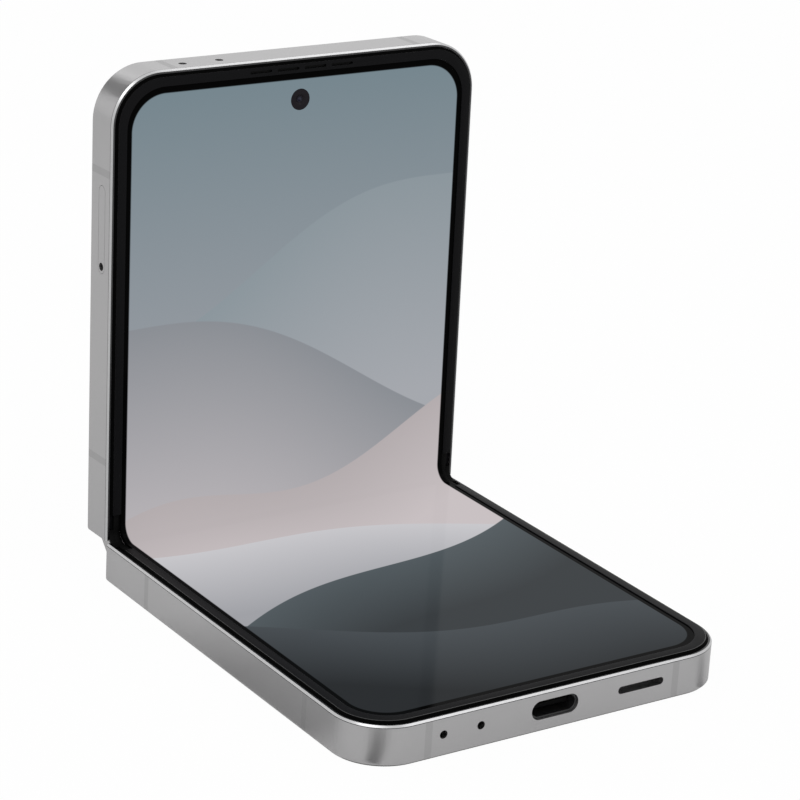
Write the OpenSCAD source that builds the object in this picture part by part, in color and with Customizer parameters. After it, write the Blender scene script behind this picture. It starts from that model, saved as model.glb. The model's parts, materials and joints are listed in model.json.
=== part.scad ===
// Foldable smartphone, standing half open: two thin halves on a geared twin-axis hinge.
// Each half is drawn in its own frame: x across the phone, y from the fold line to the far end,
// z up out of the screen, with z = 0 at the front plane of the metal frame.

/* [Body] */
// Width of the phone, along the hinge
body_w = 71.9; // [69:0.1:75]
// Length of one half, from the fold line to its far end
half_l = 82.55; // [80:0.05:85]
// Thickness of one half's metal frame
half_t = 6.9; // [6.8:0.1:7.6]
// Radius of the two outer corners of each half
corner_r = 9.0; // [8:0.5:11]
// Chamfer along the frame's edges
edge_c = 0.3; // [0.2:0.05:0.4]
// Thickness of the frame's side walls
side_wall = 1.75; // [1.6:0.05:1.9]
// Width of the bare metal rim round the screen side and round the back glass
rim_w = 0.6; // [0.5:0.05:0.8]
// Width of the plastic antenna bands in the frame
band_w = 1.3; // [1:0.1:1.8]
// Depth of the antenna bands from the outside
band_d = 1.0; // [0.8:0.1:1.2]

/* [Hinge] */
// Distance of each fold axis from the fold line
fold_a = 1.95; // [1.95:0.01:2.05]
// Depth of each fold axis below the frame's front plane
fold_h = 1.4; // [1.35:0.01:1.42]
// Outer radius of the hinge cover about each fold axis
spine_r = 4.5; // [4.3:0.05:4.5]
// Wall of the hinge cover
spine_wall = 0.6; // [0.5:0.05:0.7]
// Running gap between the hinge cover and a half
spine_gap = 0.15; // [0.1:0.05:0.2]
// Angle between the two halves at rest
rest_angle = 91; // [89:0.5:93]
// Distance of the frame's hinge end from the fold line
frame_s0 = 0.95; // [0.8:0.05:1.1]
// Chamfer on the back of the frame's hinge end
hinge_end_c = 0.6; // [0.4:0.1:0.8]
// Radius of the hinge and gear pins
pin_r = 0.3; // [0.25:0.01:0.32]
// Running clearance round the pins
pin_gap = 0.02; // [0.02:0.01:0.04]
// Width of the gears
gear_w = 1.6; // [1.2:0.1:2]
// Number of teeth on each hinge gear
gear_teeth = 10; // [10:2:12]
// Thickness of the rigid plate under the fold of the screen
plate_t = 0.3; // [0.25:0.01:0.3]

/* [Screen] */
// Thickness of the folding screen's layers
screen_t = 0.62; // [0.5:0.01:0.7]
// Height of the screen's face over the frame's front plane
screen_h = 0.32; // [0.25:0.01:0.4]
// Radius of the screen's face in the fold at rest
fold_face_r = 3.0; // [2.6:0.1:3.2]
// Radius of the hinge caps' face in the fold at rest
boot_face_r = 2.0; // [1.8:0.1:2.2]
// Height of the raised bezel over the frame's front plane
bezel_h = 0.5; // [0.45:0.01:0.52]
// Distance of the raised bezel's top edge from the frame's outside
bezel_top_in = 1.05; // [1:0.05:1.4]
// Distance of the bezel's inner edge from the frame's outside
bezel_in = 2.65; // [2.5:0.05:2.8]
// Radius that the bezel's inner corners follow, taken at the frame's outside
screen_corner_r = 9.6; // [9:0.1:10.5]
// Distance of the bezel's hinge end from the fold line
bezel_s0 = 5.6; // [5.4:0.1:6.5]
// Distance of the hinge caps' outer edge from the frame's outside
cap_in = 1.5; // [1.4:0.05:1.6]
// Diameter of the hole for the front camera
front_camera_d = 3.77; // [3.5:0.01:4.2]
// Distance of the front camera from the far end of its half
front_camera_end = 7.35; // [7:0.05:7.8]
// Length of one earpiece slot
earpiece_l = 4.3; // [3.8:0.1:4.6]
// Width of one earpiece slot
earpiece_w = 0.5; // [0.4:0.05:0.6]
// Pitch of the earpiece slots
earpiece_pitch = 5.35; // [5.2:0.05:5.6]

/* [Back] */
// Thickness of the back glass
glass_t = 0.55; // [0.5:0.05:0.6]
// Height of the camera rings over the back glass
camera_h = 1.2; // [1:0.1:1.5]
// Outer radius of a camera ring
camera_r = 5.7; // [5.4:0.1:6]
// Distance of the outer camera from the side of the phone
camera_in = 10.45; // [10:0.05:10.9]
// Distance between the two rear cameras
camera_pitch = 14.0; // [13.5:0.1:15]
// Distance of the rear cameras from the far end of their half
camera_end = 10.05; // [9.8:0.05:10.5]

/* [Ports and keys] */
// Width of the charging port's mouth
usb_w = 8.94; // [8.9:0.01:9.1]
// Height of the charging port's mouth
usb_h = 3.16; // [3.1:0.01:3.3]
// Depth of the ports in the far end of the lower half, below the front plane
port_z = 3.15; // [3.1:0.01:3.3]
// Length of the speaker slot
speaker_l = 9.1; // [8:0.1:10]
// Height of the speaker slot
speaker_h = 1.3; // [1:0.1:1.6]
// Distance of the speaker slot's centre from the side of the phone
speaker_in = 18.95; // [18.5:0.05:19.5]
// Diameter of a microphone hole
mic_d = 1.4; // [0.8:0.1:1.5]
// Length of the card tray's face
tray_l = 15.15; // [15:0.05:15.5]
// Height of the card tray's face
tray_h = 2.1; // [2:0.05:2.3]
// Distance of the card tray's centre from the far end
tray_end = 26.91; // [26:0.01:27.5]
// Diameter of the hole for the eject pin
eject_d = 1.4; // [0.9:0.05:1.5]
// Length of the volume key
volume_l = 17.5; // [16:0.5:18]
// Distance of the volume key's centre from the far end
volume_end = 29.35; // [28.5:0.05:30.5]
// Length of the power key
power_l = 12.0; // [11:0.5:13]
// Distance of the power key's centre from the far end
power_end = 50.55; // [49.5:0.05:51.5]
// Height of the keys
key_h = 2.0; // [1.8:0.1:2.2]
// How far the keys stand out of the frame
key_out = 0.25; // [0.2:0.05:0.3]

/* [Inside] */
// Depth of the frame's middle plate below the front plane, on its inner side
mid_d = 1.4; // [1.35:0.05:1.5]
// Thickness of the circuit boards
board_t = 0.6; // [0.5:0.05:0.7]
// Distance of the batteries from the frame's side walls
battery_gap = 5.7; // [5.2:0.1:7.2]
// Diameter of the charging coil
coil_d = 42.0; // [38:1:44]
// Radius of the small screws
screw_r = 0.4; // [0.35:0.05:0.45]
// Radius of the small screws' heads
screw_head_r = 0.8; // [0.75:0.05:0.9]

/* [Hidden] */
$fn = 72;

eps = 0.01;
clear = 0.05;
half_w = body_w / 2;
// Turn by which a bent stretch runs into the straight ones
arc_lap = 0.3;
// Each half's turn about the hinge cover at rest, from the flat phone
rest_turn = (180 - rest_angle) / 2;
// Where the two front planes meet at rest, as a distance from either half's fold line
fold_s = fold_a * (1 - cos(rest_turn)) + (fold_h - fold_a * sin(rest_turn)) * tan(rest_turn);

// Depths below the front plane
seat_d = 0.6;
bezel_tail_t = 0.15;
pad_d = screen_t - screen_h;
rail_d = 2.6;
back_d = half_t - glass_t;
pocket_d = fold_h + spine_r + spine_gap;
arm_top_d = 0.65;
arm_floor_d = 1.3;
flex_w = 8.0;
flex_slot_w = flex_w + 1;
flex_d = 2.0;
flex_t = 0.15;
flex_bend_r = 2.8;

// Distances from the fold line
lip_s1 = 2.2;
glass_s0 = lip_s1 + 2 * clear;
pocket_s1 = fold_a + spine_r + 0.45;
bay_s0 = pocket_s1 + 0.6;
arm_s1 = pocket_s1 + 4.1;
rail_s1 = arm_s1 + 0.5;
pad_s0 = arm_s1 - 0.5;
plate_s0 = fold_a + 0.85;
plate_half_w = half_w - bezel_in - 0.3;
inner_s1 = half_l - side_wall;
inner_w = half_w - side_wall;
arc_s = fold_s + (screen_h + fold_face_r) * tan(rest_turn);
screen_s0 = arc_s + 0.6;
cap_bend_s = fold_s + boot_face_r * tan(rest_turn) + 0.2;

// Hinge modules, as distances from the middle of the phone
end_gap = 0.2;
spine_half_l = inner_w - end_gap;
module_in = 21.0;
module_x0 = spine_half_l - module_in;
play = 0.1;
ear_w = 1.4;
gear_x0 = module_x0 + ear_w + play;
mid_ear_x0 = gear_x0 + gear_w + play;
mid_ear_w = 1.2;
arm_w = 7.8;
arm_x1 = mid_ear_x0 + arm_w;
ear2_x0 = arm_x1 + play;
washer_x0 = ear2_x0 + ear_w;
washer_t = 0.5;
washer_n = 5;
ear3_x0 = washer_x0 + washer_n * (washer_t + play) + play;
module_x1 = ear3_x0 + ear_w;
tab_l = 2.0;
tab_t = 0.6;
knuckle_r = fold_h - arm_top_d;
gear_r = fold_a / 3;
tooth_out = 0.09;
tooth_in = 0.15;
bore_r = pin_r + pin_gap;
spine_floor_d = fold_h + spine_r - spine_wall;
bracket_top_d = fold_h + knuckle_r + end_gap;

// Inside pieces
battery_s0 = 14.0;
battery_end = 22.55;
battery_s1 = half_l - battery_end;
battery_half_w = inner_w - battery_gap;
battery_d = back_d - 0.75;
upper_battery_end = 39.05;
upper_battery_s1 = half_l - upper_battery_end;
coil_t = 0.4;
lower_board_d = port_z + usb_h / 2;
main_board_d = 4.2;
board_gap = 3.2;
board_half_w = inner_w - board_gap;
board_end_gap = 2.8;
board_s1 = inner_s1 - board_end_gap;
camera_x = half_w - camera_in;
camera_s = half_l - camera_end;
camera_box = 9.5;
flash_r = 1.1;
flash_s = camera_s + 5.6;
front_camera_s = half_l - front_camera_end;
front_camera_box = 5.0;
earpiece_s = half_l - (bezel_top_in + bezel_in) / 2;
earpiece_box = [12.0, 2.8, 2.2];
earpiece_reach = 1.5 * earpiece_pitch + earpiece_l / 2 + 0.3;
mic_in = 14.75;
mic_pitch = 7.0;
mic_x = [mic_in - half_w, mic_in + mic_pitch - half_w];
mic_box = [2.6, 1.2, 1.8];
magnet = [3.5, 2.0, 1.6];
magnet_x = half_w - corner_r - 0.4;
band_s0 = 15.1;
band_end = 16.95;
band_places = [band_s0, half_l - band_end];
band_in = 11.95;
band_x = half_w - band_in;

// Charging port, speaker and motor
usb_depth = 8.6;
usb_set_in = 0.5;
usb_wall = 0.3;
usb_floor = 0.6;
usb_tongue = [6.7, 6.4, 0.7];
speaker_x = half_w - speaker_in;
speaker_box_l = 14.8;
mesh_t = 0.3;
mesh_rim = 0.45;
mesh_pitch = 0.8;
mesh_hole_d = 0.5;
mesh_n = 5;
motor_r = 4.0;
motor_h = 2.8;
motor_in = 12.0;

// Keys and their switches
key_d = 3.0;
volume_s = half_l - volume_end;
power_s = half_l - power_end;
key_flange_x = inner_w - 0.65;
flange_t = 0.4;
flange_rim = 0.7;
switch_gap = 0.25;
switch_x = key_flange_x - switch_gap;
switch_t = 0.6;
switch_l = 2.4;
switch_strip_t = 0.4;
switch_in = 2.5;

// Card, its tray and its reader
tray_s = half_l - tray_end;
tray_face_t = 1.5;
eject_in = 1.17;
card = [12.3, 8.8, 0.65];
card_in = 2.0;
card_x0 = card_in - half_w;
card_s = tray_s + 0.55;
card_floor_d = key_d + 0.25;
card_gap = 0.1;
tray_rim = 0.6;
tray_plate_t = 1.0;
tray_x1 = card_x0 + card[0] + card_gap + tray_rim;
tray_half = card[1] / 2 + card_gap + tray_rim;
reader_gap = 0.2;
reader_wall = 0.8;
reader_t = 2.4;

// Main board's shields and the place where the board narrows beside the cameras
board_step_s = camera_s - camera_box / 2 - 2.25;
board_step_x = camera_x - camera_pitch - camera_box / 2 - 2.75;
battery_board_gap = 2.0;
shield_in = [16.0, 11.0, 1.5];
shield_t = 1.6;
small_shield = [10.0, 9.0, 1.2];
small_shield_in = 7.0;

// Screws and the bosses that hold them
boss_r = 1.3;
boss_roof = 1.0;
boss_in = 1.5;
boss_end = 6.25;
boss_step = 8.0;
boss_x = board_half_w - boss_in;
boss_s = half_l - boss_end;
upper_boss_x = board_half_w - 3.5;
middle_boss_in = 21.0;
lower_boss = [[-boss_x, boss_s], [boss_x, boss_s], [-usb_w / 2 - boss_r - 1, boss_s - boss_step]];
upper_boss = [[-upper_boss_x, boss_s - boss_step], [upper_boss_x, upper_battery_s1 + 5.5],
    [middle_boss_in - board_half_w, boss_s]];
arm_screw_x = [module_x0 + 5.6, module_x0 + 9.2];
arm_screw_s = (pocket_s1 + arm_s1) / 2 + 0.25;

// Rest places of the two halves and the hinge cover
axis_y = -fold_a;
axis_z = half_t - fold_h;
upper_y = axis_y + 2 * fold_a * cos(rest_turn) - fold_a * cos(2 * rest_turn) - fold_h * sin(2 * rest_turn);
upper_z = axis_z + 2 * fold_a * sin(rest_turn) - fold_a * sin(2 * rest_turn) + fold_h * cos(2 * rest_turn);
rear_y = upper_y + (camera_s + camera_r) * cos(2 * rest_turn) + (half_t + camera_h) * sin(2 * rest_turn);
y_shift = (half_l - rear_y) / 2;

module lower_half() translate([0, y_shift, half_t]) mirror([0, 1, 0]) children();
module upper_half() {
    translate([0, y_shift + upper_y, upper_z]) rotate([2 * rest_turn, 0, 0]) children();
}
module spine() {
    translate([0, y_shift + axis_y, axis_z]) rotate([rest_turn, 0, 0]) translate([0, fold_a, fold_h])
        children();
}
module both_sides() {
    children();
    mirror([1, 0, 0]) children();
}
module side(right) mirror([right ? 0 : 1, 0, 0]) children();

// Draws a shape of the y-z plane, pushed along x
module along_x(x0, length) translate([x0, 0, 0]) rotate([90, 0, 90]) linear_extrude(length) children();
// Draws a shape of the x-z plane, pushed along y
module along_y(y0, length) {
    translate([0, y0 + length, 0]) rotate([90, 0, 0]) linear_extrude(length) children();
}

function straight(inset, z0, z1) = [[inset, z0], [inset, z1]];
function backwards(list) = [for (i = [len(list) - 1:-1:0]) list[i]];

// A half's rounded outline with the given edge: section is a list of [inset, z] from bottom to top
module outline_solid(section, s0, s1 = half_l, r = corner_r) {
    z0 = section[0][1];
    z1 = section[len(section) - 1][1];
    along_y(s0, s1 - r - s0) polygon(concat(
        [for (p = section) [half_w - p[0], p[1]]],
        [for (p = backwards(section)) [p[0] - half_w, p[1]]]));
    along_x(r - half_w, body_w - 2 * r) polygon(concat(
        [[s0, z0]], [for (p = section) [s1 - p[0], p[1]]], [[s0, z1]]));
    for (x = [r - half_w, half_w - r])
        translate([x, s1 - r, 0]) rotate_extrude() polygon(concat(
            [[0, z0]], [for (p = section) [r - p[0], p[1]]], [[0, z1]]));
}

// A slot with round ends, lying along the first axis of its plane
module slot_shape(length, height) {
    square([length - height, height], center = true);
    for (x = [-1, 1])
        translate([x * (length - height) / 2, 0]) circle(d = height);
}

// A slot with round ends in the frame's far end, or something that fills it
module end_slot(x, d, length, height, s0, depth) {
    translate([x, s0 + depth, -d]) rotate([90, 0, 0]) linear_extrude(depth) slot_shape(length, height);
}

// A slot with round ends in the frame's side, or something that fills it
module side_slot(s, d, length, height, x0, depth) {
    along_x(x0, depth) translate([s, -d]) slot_shape(length, height);
}

module box(x0, x1, y0, y1, z0, z1) translate([x0, y0, z0]) cube([x1 - x0, y1 - y0, z1 - z0]);

frame_section = [[edge_c, -half_t], [0, edge_c - half_t], [0, -edge_c], [edge_c, 0]];

module band_boxes() {
    for (s = band_places)
        box(-half_w - 1, half_w + 1, s - band_w / 2, s + band_w / 2, -half_t - 1, 1);
    for (x = [-band_x, band_x])
        box(x - band_w / 2, x + band_w / 2, half_l - 3, half_l + 1, -half_t - 1, 1);
}

// The frame that both halves share: side walls, middle plate, hinge rail and back lip
module half_frame() {
    difference() {
        union() {
            difference() {
                outline_solid(frame_section, frame_s0);
                outline_solid(straight(rim_w, -seat_d, 1), frame_s0 - 1);
                outline_solid(straight(rim_w, -half_t - 1, -back_d), glass_s0 - clear);
                outline_solid(straight(side_wall, -back_d - 1, -rail_d), bay_s0);
                outline_solid(straight(side_wall, -back_d - 1, -mid_d), rail_s1);
            }
            outline_solid(straight(bezel_in + 2 * clear, -mid_d, -pad_d), pad_s0, r = screen_corner_r);
        }
        box(-inner_w, inner_w, frame_s0 - 1, pocket_s1, -pocket_d, 1);
        both_sides() {
            box(mid_ear_x0 - 0.2, arm_x1 + clear, frame_s0, arm_s1, -arm_floor_d, 1);
            for (x = arm_screw_x)
                translate([x, arm_screw_s, -rail_d + 0.2]) cylinder(r = screw_r + eps, h = rail_d);
        }
        box(-flex_slot_w / 2, flex_slot_w / 2, pocket_s1 - 1, rail_s1 + 1, -flex_d - 0.35, 0.15 - flex_d);
        translate([0, frame_s0, -half_t]) rotate([45, 0, 0])
            cube([body_w + 2, hinge_end_c * sqrt(2), hinge_end_c * sqrt(2)], center = true);
        difference() {
            band_boxes();
            outline_solid(straight(band_d, -half_t - 2, 2), frame_s0 - 2, r = corner_r);
        }
    }
}

module half_bands() {
    intersection() {
        difference() {
            outline_solid(frame_section, frame_s0);
            outline_solid(straight(band_d, -half_t - 2, 2), frame_s0 - 2);
            outline_solid(straight(rim_w, -seat_d, 1), frame_s0 - 1);
            outline_solid(straight(rim_w, -half_t - 1, -back_d), frame_s0 - 1);
        }
        band_boxes();
    }
}

// The raised bezel, with a thin tail beside each hinge cap
module half_bezel() {
    difference() {
        outline_solid([[rim_w + clear, -seat_d], [rim_w + clear, 0], [bezel_top_in, bezel_h]], bezel_s0);
        outline_solid(straight(bezel_in, -half_t, half_t), bezel_s0 - 1, r = screen_corner_r);
    }
    both_sides() box(half_w - cap_in + clear, half_w - rim_w - clear, cap_bend_s + clear, bezel_s0 + 1,
        -seat_d, bezel_tail_t - seat_d);
}

module half_screen() {
    outline_solid(straight(bezel_in + clear, screen_h - screen_t, screen_h), screen_s0, r = screen_corner_r);
}

module half_magnets() {
    both_sides() translate([magnet_x - magnet[0] / 2, inner_s1 - 0.2 - magnet[1], -mid_d - magnet[2]])
        cube(magnet);
}

module boss(place, floor_d) {
    translate([place[0], place[1], -floor_d]) difference() {
        cylinder(r = boss_r, h = floor_d - mid_d + 0.1);
        translate([0, 0, -1]) cylinder(r = screw_r + eps, h = 1 + floor_d - mid_d - boss_roof);
    }
}

module screw_holes(places) {
    for (place = places)
        translate([place[0], place[1], -half_t]) cylinder(r = screw_r + clear, h = half_t);
}

// A screw that goes up through a board into its boss
module board_screw(place, floor_d) {
    translate([place[0], place[1], -floor_d - board_t]) {
        cylinder(r = screw_r, h = board_t + floor_d - mid_d - boss_roof - end_gap);
        translate([0, 0, -0.4]) cylinder(r = screw_head_r + 0.2, h = 0.4);
    }
}

// A countersunk screw that holds an arm down on the rail
module arm_screws() {
    both_sides() for (x = arm_screw_x) translate([x, arm_screw_s, 0]) {
        translate([0, 0, -rail_d + 0.3]) cylinder(r = screw_r, h = rail_d - 0.3 - arm_top_d);
        translate([0, 0, -arm_top_d - 0.3]) cylinder(r1 = screw_r, r2 = screw_head_r, h = 0.3);
    }
}

// An arm in its half's own frame: knuckle and gear hub on the fold axis, not yet bored, and the plate
module hinge_arm() {
    along_x(gear_x0 + gear_w, arm_x1 - gear_x0 - gear_w)
        translate([fold_a, -fold_h]) circle(r = knuckle_r);
    along_x(gear_x0, gear_w + 1) translate([fold_a, -fold_h]) circle(r = gear_r - tooth_in - 2 * eps);
    difference() {
        box(mid_ear_x0, arm_x1, fold_a, arm_s1 - clear, -arm_floor_d, -arm_top_d);
        for (x = arm_screw_x) translate([x, arm_screw_s, 0]) {
            translate([0, 0, -rail_d]) cylinder(r = screw_r + eps, h = rail_d);
            translate([0, 0, -arm_top_d - 0.3])
                cylinder(r1 = screw_r + eps, r2 = screw_head_r + eps, h = 0.3);
        }
    }
}

function tooth(turn) = [for (c = [[-8, -1], [-4, 1], [4, 1], [8, -1]])
    let (r = gear_r + (c[1] > 0 ? tooth_out : -tooth_in)) [r * cos(turn + c[0]), r * sin(turn + c[0])]];

// A hinge gear in the hinge cover's frame, on an axis at u from the middle, not yet bored
module hinge_gear(u, phase) {
    pitch = 360 / gear_teeth;
    along_x(gear_x0, gear_w) translate([u, -fold_h])
        polygon([for (i = [0:gear_teeth - 1]) for (p = tooth((i + phase) * pitch)) p]);
}

module pin_bore(u) along_x(module_x0, arm_x1 - module_x0 + 1) translate([u, -fold_h]) circle(r = bore_r);

// The hinge cover's section: two arcs about the fold axes joined by a flat back, open at the front
module spine_shape(r) {
    difference() {
        union() {
            for (u = [-fold_a, fold_a]) translate([u, -fold_h]) circle(r = r);
            translate([-fold_a, -fold_h - r]) square([2 * fold_a, r]);
        }
        translate([-2 * r, -fold_h]) square([4 * r, 2 * r]);
    }
}

module lower_frame() color([0.66, 0.66, 0.67]) lower_half() {
    difference() {
        half_frame();
        end_slot(0, port_z, usb_w + 2 * clear, usb_h + 2 * clear, half_l - 3, 5);
        end_slot(speaker_x, port_z, speaker_l, speaker_h, half_l - 3, 5);
        for (x = mic_x) translate([x, half_l + 1, -port_z]) rotate([90, 0, 0]) cylinder(d = mic_d, h = 4);
    }
    for (place = lower_boss) boss(place, lower_board_d);
}

module upper_frame() color([0.66, 0.66, 0.67]) upper_half() {
    difference() {
        half_frame();
        side_slot(tray_s, key_d, tray_l + 2 * clear, tray_h + 2 * clear, -half_w - 1, 4);
        side_slot(volume_s, key_d, volume_l + 4 * clear, key_h + 4 * clear, inner_w - 1, 4);
        side_slot(power_s, key_d, power_l + 4 * clear, key_h + 4 * clear, inner_w - 1, 4);
        for (x = mic_x) translate([x, half_l + 1, -key_d]) rotate([90, 0, 0]) cylinder(d = mic_d, h = 4);
        translate([0, front_camera_s, -half_t]) cylinder(d = front_camera_d - 0.2, h = half_t + 1);
        box(-earpiece_reach, earpiece_reach, earpiece_s - 0.3, earpiece_s + 0.3, -seat_d - 0.4, 0);
        box(0.5 - earpiece_box[0] / 2, earpiece_box[0] / 2 - 0.5, earpiece_s - 0.3, inner_s1 - play,
            -mid_d - 0.5, 0);
    }
    for (place = upper_boss) boss(place, main_board_d);
}

module lower_antenna_bands() color([0.5, 0.5, 0.51]) lower_half() half_bands();
module upper_antenna_bands() color([0.5, 0.5, 0.51]) upper_half() half_bands();
module lower_bezel() color([0.06, 0.06, 0.065]) lower_half() half_bezel();

module upper_bezel() color([0.06, 0.06, 0.065]) upper_half() difference() {
    half_bezel();
    for (i = [-1.5:1:1.5])
        translate([i * earpiece_pitch, earpiece_s, -1]) linear_extrude(3) slot_shape(earpiece_l, earpiece_w);
}

module lower_display() color([0.2, 0.22, 0.24]) lower_half() half_screen();

module upper_display() color([0.55, 0.6, 0.63]) upper_half() difference() {
    half_screen();
    translate([0, front_camera_s, -1]) cylinder(d = front_camera_d, h = 3);
}

// A strip that follows both halves and bends between them: face_z is its face, face_r the bend's radius
module folded_strip(x0, x1, end_s, face_z, thick, face_r) {
    centre = fold_s + (face_z + face_r) * tan(rest_turn);
    reach = 3 * (face_r + thick);
    lower_half() box(x0, x1, centre, end_s, face_z - thick, face_z);
    upper_half() box(x0, x1, centre, end_s, face_z - thick, face_z);
    lower_half() along_x(x0, x1 - x0) translate([centre, face_z + face_r]) intersection() {
        difference() {
            circle(r = face_r + thick);
            circle(r = face_r);
        }
        polygon([[0, 0], [reach * sin(arc_lap), -reach * cos(arc_lap)], [-reach, -reach],
            [-reach * sin(2 * rest_turn + arc_lap), -reach * cos(2 * rest_turn + arc_lap)]]);
    }
}

module display_fold() color([0.7, 0.7, 0.7]) {
    x_end = half_w - bezel_in - clear;
    folded_strip(-x_end, x_end, screen_s0, screen_h, screen_t, fold_face_r);
}

// A strip of a hinge cap, from the screen's side out to x_out
module cap_strip(right, x_out, end_s) {
    x_in = half_w - bezel_in + clear;
    folded_strip(right ? x_in : -x_out, right ? x_out : -x_in, end_s, 0, seat_d, boot_face_r);
}

// The caps reach the rim in the bend and are narrower beside the bezels' tails
module hinge_caps() color([0.05, 0.05, 0.05]) for (right = [false, true]) {
    cap_strip(right, half_w - cap_in, bezel_s0 - clear);
    cap_strip(right, half_w - rim_w - clear, cap_bend_s);
}

module hinge_flex_cable() color([0.45, 0.25, 0.1])
    folded_strip(-flex_w / 2, flex_w / 2, battery_s0, -flex_d, flex_t, flex_bend_r);

module back_glass() {
    outline_solid([[rim_w + clear + 0.12, -half_t], [rim_w + clear, 0.12 - half_t], [rim_w + clear, -back_d]],
        glass_s0);
}

module lower_back_glass() color([0.72, 0.73, 0.74]) lower_half() back_glass();

module cover_glass() color([0.1, 0.1, 0.11]) upper_half() difference() {
    back_glass();
    for (i = [0, 1]) translate([camera_x - i * camera_pitch, camera_s, -half_t - 1])
        cylinder(r = camera_r - 0.6, h = 3);
}

// The cover screen leaves out the corner that the cameras fill
module cover_display() color([0.05, 0.05, 0.06]) upper_half() difference() {
    box(-board_half_w, board_half_w, 10, half_l - 5.5, -back_d, 0.6 - back_d);
    box(camera_x - camera_pitch - camera_r - 0.6, half_w, camera_s - camera_r - 0.6, half_l, -half_t, 0);
}

module lower_battery() color([0.15, 0.15, 0.16]) lower_half()
    box(-battery_half_w, battery_half_w, battery_s0, battery_s1, -battery_d, -mid_d);

module upper_battery() color([0.15, 0.15, 0.16]) upper_half()
    box(-battery_half_w, battery_half_w, battery_s0, upper_battery_s1, -battery_d, -mid_d);

module charging_coil() color([0.72, 0.45, 0.2]) lower_half()
    translate([0, (battery_s0 + battery_s1) / 2, -battery_d - coil_t]) difference() {
        cylinder(d = coil_d, h = coil_t);
        translate([0, 0, -1]) cylinder(d = coil_d / 2, h = coil_t + 2);
    }

module lower_board() color([0.05, 0.25, 0.15]) lower_half() difference() {
    box(-board_half_w, board_half_w, battery_s1 + 2.5 * battery_board_gap, board_s1,
        -lower_board_d - board_t, -lower_board_d);
    screw_holes(lower_boss);
}

module usb_shell() color([0.6, 0.6, 0.6]) lower_half() difference() {
    end_slot(0, port_z, usb_w, usb_h, half_l - usb_depth, usb_depth - usb_set_in);
    end_slot(0, port_z, usb_w - 2 * usb_wall, usb_h - 2 * usb_wall, half_l - usb_depth + usb_floor, usb_depth);
}

module usb_tongue() color([0.08, 0.08, 0.08]) lower_half()
    translate([0, half_l - usb_depth + usb_floor + usb_tongue[1] / 2, -port_z]) cube(usb_tongue, center = true);

module loudspeaker() color([0.1, 0.1, 0.1]) lower_half()
    box(speaker_x - speaker_box_l / 2, speaker_x + speaker_box_l / 2, battery_s1 + 4 * battery_board_gap,
        inner_s1 - mesh_t, -lower_board_d, -mid_d - end_gap);

module speaker_mesh() color([0.03, 0.03, 0.03]) lower_half() difference() {
    box(speaker_x - speaker_l / 2 - 2 * mesh_rim, speaker_x + speaker_l / 2 + 2 * mesh_rim, inner_s1 - mesh_t,
        inner_s1, -port_z - speaker_h / 2 - mesh_rim, speaker_h / 2 + mesh_rim - port_z);
    for (i = [-mesh_n:mesh_n]) translate([speaker_x + i * mesh_pitch, inner_s1 + 1, -port_z])
        rotate([90, 0, 0]) cylinder(d = mesh_hole_d, h = mesh_t + 2);
}

module half_microphones(d) {
    for (x = mic_x) translate([x, inner_s1 - mic_box[1] / 2, -d]) cube(mic_box, center = true);
}

module lower_microphones() color([0.7, 0.65, 0.5]) lower_half() half_microphones(port_z);
module upper_microphones() color([0.7, 0.65, 0.5]) upper_half() half_microphones(key_d);

module vibration_motor() color([0.6, 0.6, 0.62]) lower_half()
    translate([motor_in - board_half_w, battery_s1 + 5.5 * battery_board_gap, -lower_board_d])
        cylinder(r = motor_r, h = motor_h);

module lower_magnets() color([0.4, 0.4, 0.42]) lower_half() half_magnets();
module upper_magnets() color([0.4, 0.4, 0.42]) upper_half() half_magnets();

module lower_screws() color([0.5, 0.5, 0.5]) lower_half() {
    for (place = lower_boss) board_screw(place, lower_board_d);
    arm_screws();
}

module upper_screws() color([0.5, 0.5, 0.5]) upper_half() {
    for (place = upper_boss) board_screw(place, main_board_d);
    arm_screws();
}

module lower_hinge_arms() color([0.55, 0.55, 0.57]) both_sides() difference() {
    union() {
        lower_half() hinge_arm();
        spine() hinge_gear(-fold_a, 0);
    }
    spine() pin_bore(-fold_a);
}

module upper_hinge_arms() color([0.55, 0.55, 0.57]) both_sides() difference() {
    union() {
        upper_half() hinge_arm();
        spine() hinge_gear(fold_a, 0.5);
    }
    spine() pin_bore(fold_a);
}

module idler_gear(u, phase, right) color([0.75, 0.65, 0.4]) side(right) spine() difference() {
    hinge_gear(u, phase);
    pin_bore(u);
}

module idler_gear_lower_left() idler_gear(-gear_r, 0.5, false);
module idler_gear_lower_right() idler_gear(-gear_r, 0.5, true);
module idler_gear_upper_left() idler_gear(gear_r, 0, false);
module idler_gear_upper_right() idler_gear(gear_r, 0, true);

module hinge_plate() {
    box(-plate_half_w, plate_half_w, plate_s0, pad_s0 - 0.1, -seat_d, plate_t - seat_d);
}

module lower_hinge_plate() color([0.5, 0.5, 0.52]) lower_half() hinge_plate();
module upper_hinge_plate() color([0.5, 0.5, 0.52]) upper_half() hinge_plate();

module hinge_cover() color([0.6, 0.6, 0.61]) spine() difference() {
    along_x(-spine_half_l, 2 * spine_half_l) spine_shape(spine_r);
    along_x(spine_wall - spine_half_l, 2 * (spine_half_l - spine_wall)) spine_shape(spine_r - spine_wall);
    both_sides() for (x = [module_x0 - tab_l / 2, module_x1 + tab_l / 2])
        translate([x, 0, -spine_floor_d - 0.4]) cylinder(r = screw_r + eps, h = 1);
}

// An ear of the bracket, bored for the pins at the given distances from the middle
module ear(x0, width, half_u, places) {
    along_x(x0, width) difference() {
        translate([-half_u, -bracket_top_d - eps])
            square([2 * half_u, bracket_top_d - fold_h + pin_r + 0.25]);
        for (u = places) translate([u, -fold_h]) circle(r = pin_r + 0.005);
    }
}

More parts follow.
